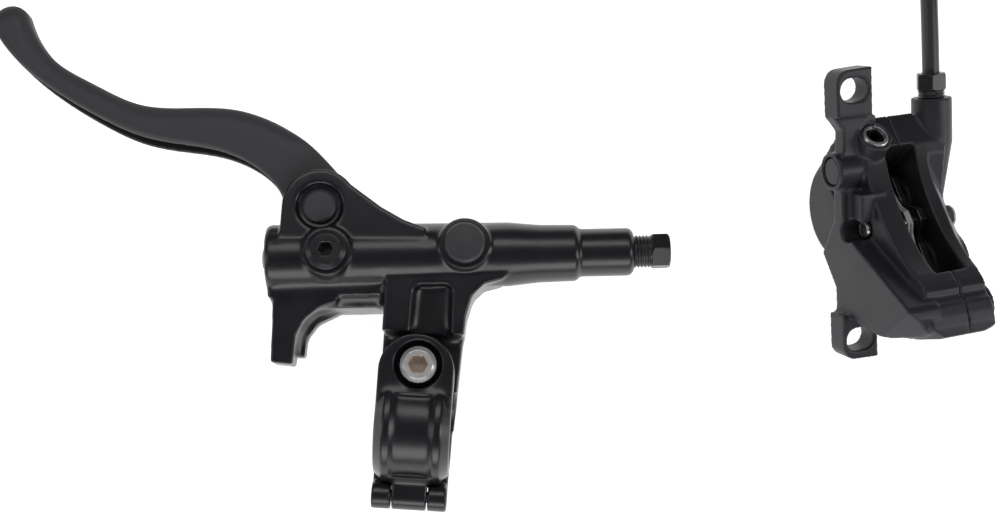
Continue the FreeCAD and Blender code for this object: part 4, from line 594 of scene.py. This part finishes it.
# Hose: a smooth black cover over a woven core, 5 mm across. It leaves the nut, rises out of the
# picture, comes down to the table behind and lies there in a coil that ends in a capped fitting.
hose_black = finish("hose_cover", (0.024, 0.024, 0.027), (0.036, 0.036, 0.04), (0.3, 0.42), radius=0.0001,
                    tone=150.0, grain=1800.0, bump=0.05)
ROUTE = [(0.13402, 0.05042, 0.02273), (0.12966, 0.07994, 0.03431), (0.12577, 0.12016, 0.0390),
         (0.12117, 0.14816, 0.0270), (0.11417, 0.17316, 0.0130), (0.09817, 0.19316, 0.0044),
         (0.07317, 0.20166, 0.0026), (0.04717, 0.20166, 0.0026)]
COIL_CENTRE = (0.04717, 0.17166)
COIL_RADIUS = 0.030
COIL_TURNS, COIL_STEPS, COIL_RISE = 3.25, 52, 3.0
HOSE_RADIUS, LOWEST_TURN, TURN_HEIGHT = 0.0025, 0.0026, 0.005
hose_route = list(ROUTE)
for step in range(1, COIL_STEPS + 1):
    turn = COIL_TURNS * step / COIL_STEPS
    angle = math.radians(90) + 2 * math.pi * turn
    hose_route.append((COIL_CENTRE[0] + COIL_RADIUS * math.cos(angle),
                       COIL_CENTRE[1] + COIL_RADIUS * math.sin(angle),
                       LOWEST_TURN + TURN_HEIGHT * min(turn, COIL_RISE)))
line = bpy.data.curves.new("brake_hose", "CURVE")
line.dimensions = "3D"
line.bevel_depth = HOSE_RADIUS
line.bevel_resolution = 6
line.resolution_u = 10
line.use_fill_caps = True
spline = line.splines.new("NURBS")
spline.points.add(len(hose_route) - 1)
for point, place in zip(spline.points, hose_route):
    point.co = (*place, 1)
spline.order_u = 3
spline.use_endpoint_u = True
line.materials.append(hose_black)
brake_hose = bpy.data.objects.new("brake_hose", line)
bpy.context.scene.collection.objects.link(brake_hose)
dress(black_resin, "hose_end_cap")
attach(brake_hose, "frame")
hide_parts("hose_run", "hose_coil")

# Table: a wide white sheet just below the object. It looks plain white to the camera and in
# reflections, and keeps a faint shadow.
TABLE_REACH, TABLE_HEIGHT = 3, -0.0002
WHITE_LEVEL = 0.85
CORNERS = [(x * TABLE_REACH, y * TABLE_REACH, TABLE_HEIGHT) for x, y in ((-1, -1), (1, -1), (1, 1), (-1, 1))]
table_mesh = bpy.data.meshes.new("table")
table_mesh.from_pydata(CORNERS, [], [(0, 1, 2, 3)])
table = bpy.data.objects.new("table", table_mesh)
bpy.context.scene.collection.objects.link(table)
white = bpy.data.materials.new("white_table")
white.use_nodes = True
tree = white.node_tree
add = tree.nodes.new
link = tree.links.new
shader = tree.nodes["Principled BSDF"]
shader.inputs["Base Color"].default_value = (0.8, 0.8, 0.8, 1)
shader.inputs["Roughness"].default_value = 0.9
shader.inputs["Specular IOR Level"].default_value = 0.0
rays, either, both = add("ShaderNodeLightPath"), add("ShaderNodeMath"), add("ShaderNodeMath")
level = add("ShaderNodeMath")
either.operation = both.operation = "MAXIMUM"
level.operation, level.inputs[1].default_value = "MULTIPLY", WHITE_LEVEL
link(rays.outputs["Is Camera Ray"], either.inputs[0])
link(rays.outputs["Is Glossy Ray"], either.inputs[1])
link(either.outputs[0], both.inputs[0])
link(rays.outputs["Is Transmission Ray"], both.inputs[1])
link(both.outputs[0], level.inputs[0])
link(level.outputs[0], shader.inputs["Emission Strength"])
shader.inputs["Emission Color"].default_value = (1, 1, 1, 1)
table_mesh.materials.append(white)

# Lamps: a low panel before the object and a higher one behind it give the long soft reflections on
# the barrel, and a narrow one stands at each side. The world adds a little cool light.
world = bpy.data.worlds.new("studio")
bpy.context.scene.world = world
world.use_nodes = True
world.node_tree.nodes["Background"].inputs["Color"].default_value = (0.9, 0.92, 1.0, 1)
world.node_tree.nodes["Background"].inputs["Strength"].default_value = 0.08


def lamp(name, place, aim, size, power):
    """A white area lamp of the given width and height, turned to look at a point."""
    light = bpy.data.lights.new(name, "AREA")
    light.shape = "RECTANGLE"
    light.size, light.size_y = size
    light.energy = power
    held = bpy.data.objects.new(name, light)
    held.location = place
    held.rotation_euler = (Vector(aim) - Vector(place)).to_track_quat("-Z", "Y").to_euler()
    bpy.context.scene.collection.objects.link(held)


lamp("front_panel", place=(0.0, -1.0, 0.55), aim=(0, 0, 0), size=(1.5, 0.5), power=7.5)
lamp("sky_panel", place=(-0.1, 0.6, 0.95), aim=(0, 0, 0), size=(1.0, 0.4), power=3)
lamp("left_strip", place=(-0.9, -0.1, 0.45), aim=(0, 0, 0), size=(0.3, 0.9), power=1.2)
lamp("right_strip", place=(0.95, -0.1, 0.5), aim=(0.05, 0, 0), size=(0.3, 0.9), power=3)

# Camera: it looks down on the table with a small tilt and roll, from close by, as the photograph does.
# The focal length is given in pixels of a picture 1000 pixels wide.
TARGET = Vector((0.0071625, 0.00316065, 0.015))
DISTANCE = 0.430
SENSOR_WIDTH, FOCAL_PIXELS, PICTURE_PIXELS = 36.0, 1432.0, 1000.0
tilt, roll = math.radians(9.0), math.radians(3.5)
right = Vector((1, 0, 0))
up = Vector((0, math.cos(tilt), math.sin(tilt)))
back = Vector((0, -math.sin(tilt), math.cos(tilt)))
across = right * math.cos(roll) + up * math.sin(roll)
upward = up * math.cos(roll) - right * math.sin(roll)
lens = bpy.data.cameras.new("camera")
lens.sensor_width = SENSOR_WIDTH
lens.lens = SENSOR_WIDTH * FOCAL_PIXELS / PICTURE_PIXELS
lens.clip_start = 0.01
camera = bpy.data.objects.new("camera", lens)
eye = TARGET + back * DISTANCE
camera.matrix_world = Matrix((
    (across.x, upward.x, back.x, eye.x), (across.y, upward.y, back.y, eye.y),
    (across.z, upward.z, back.z, eye.z), (0, 0, 0, 1)))
bpy.context.scene.collection.objects.link(camera)
bpy.context.scene.camera = camera
bpy.context.scene.view_settings.view_transform = "Standard"
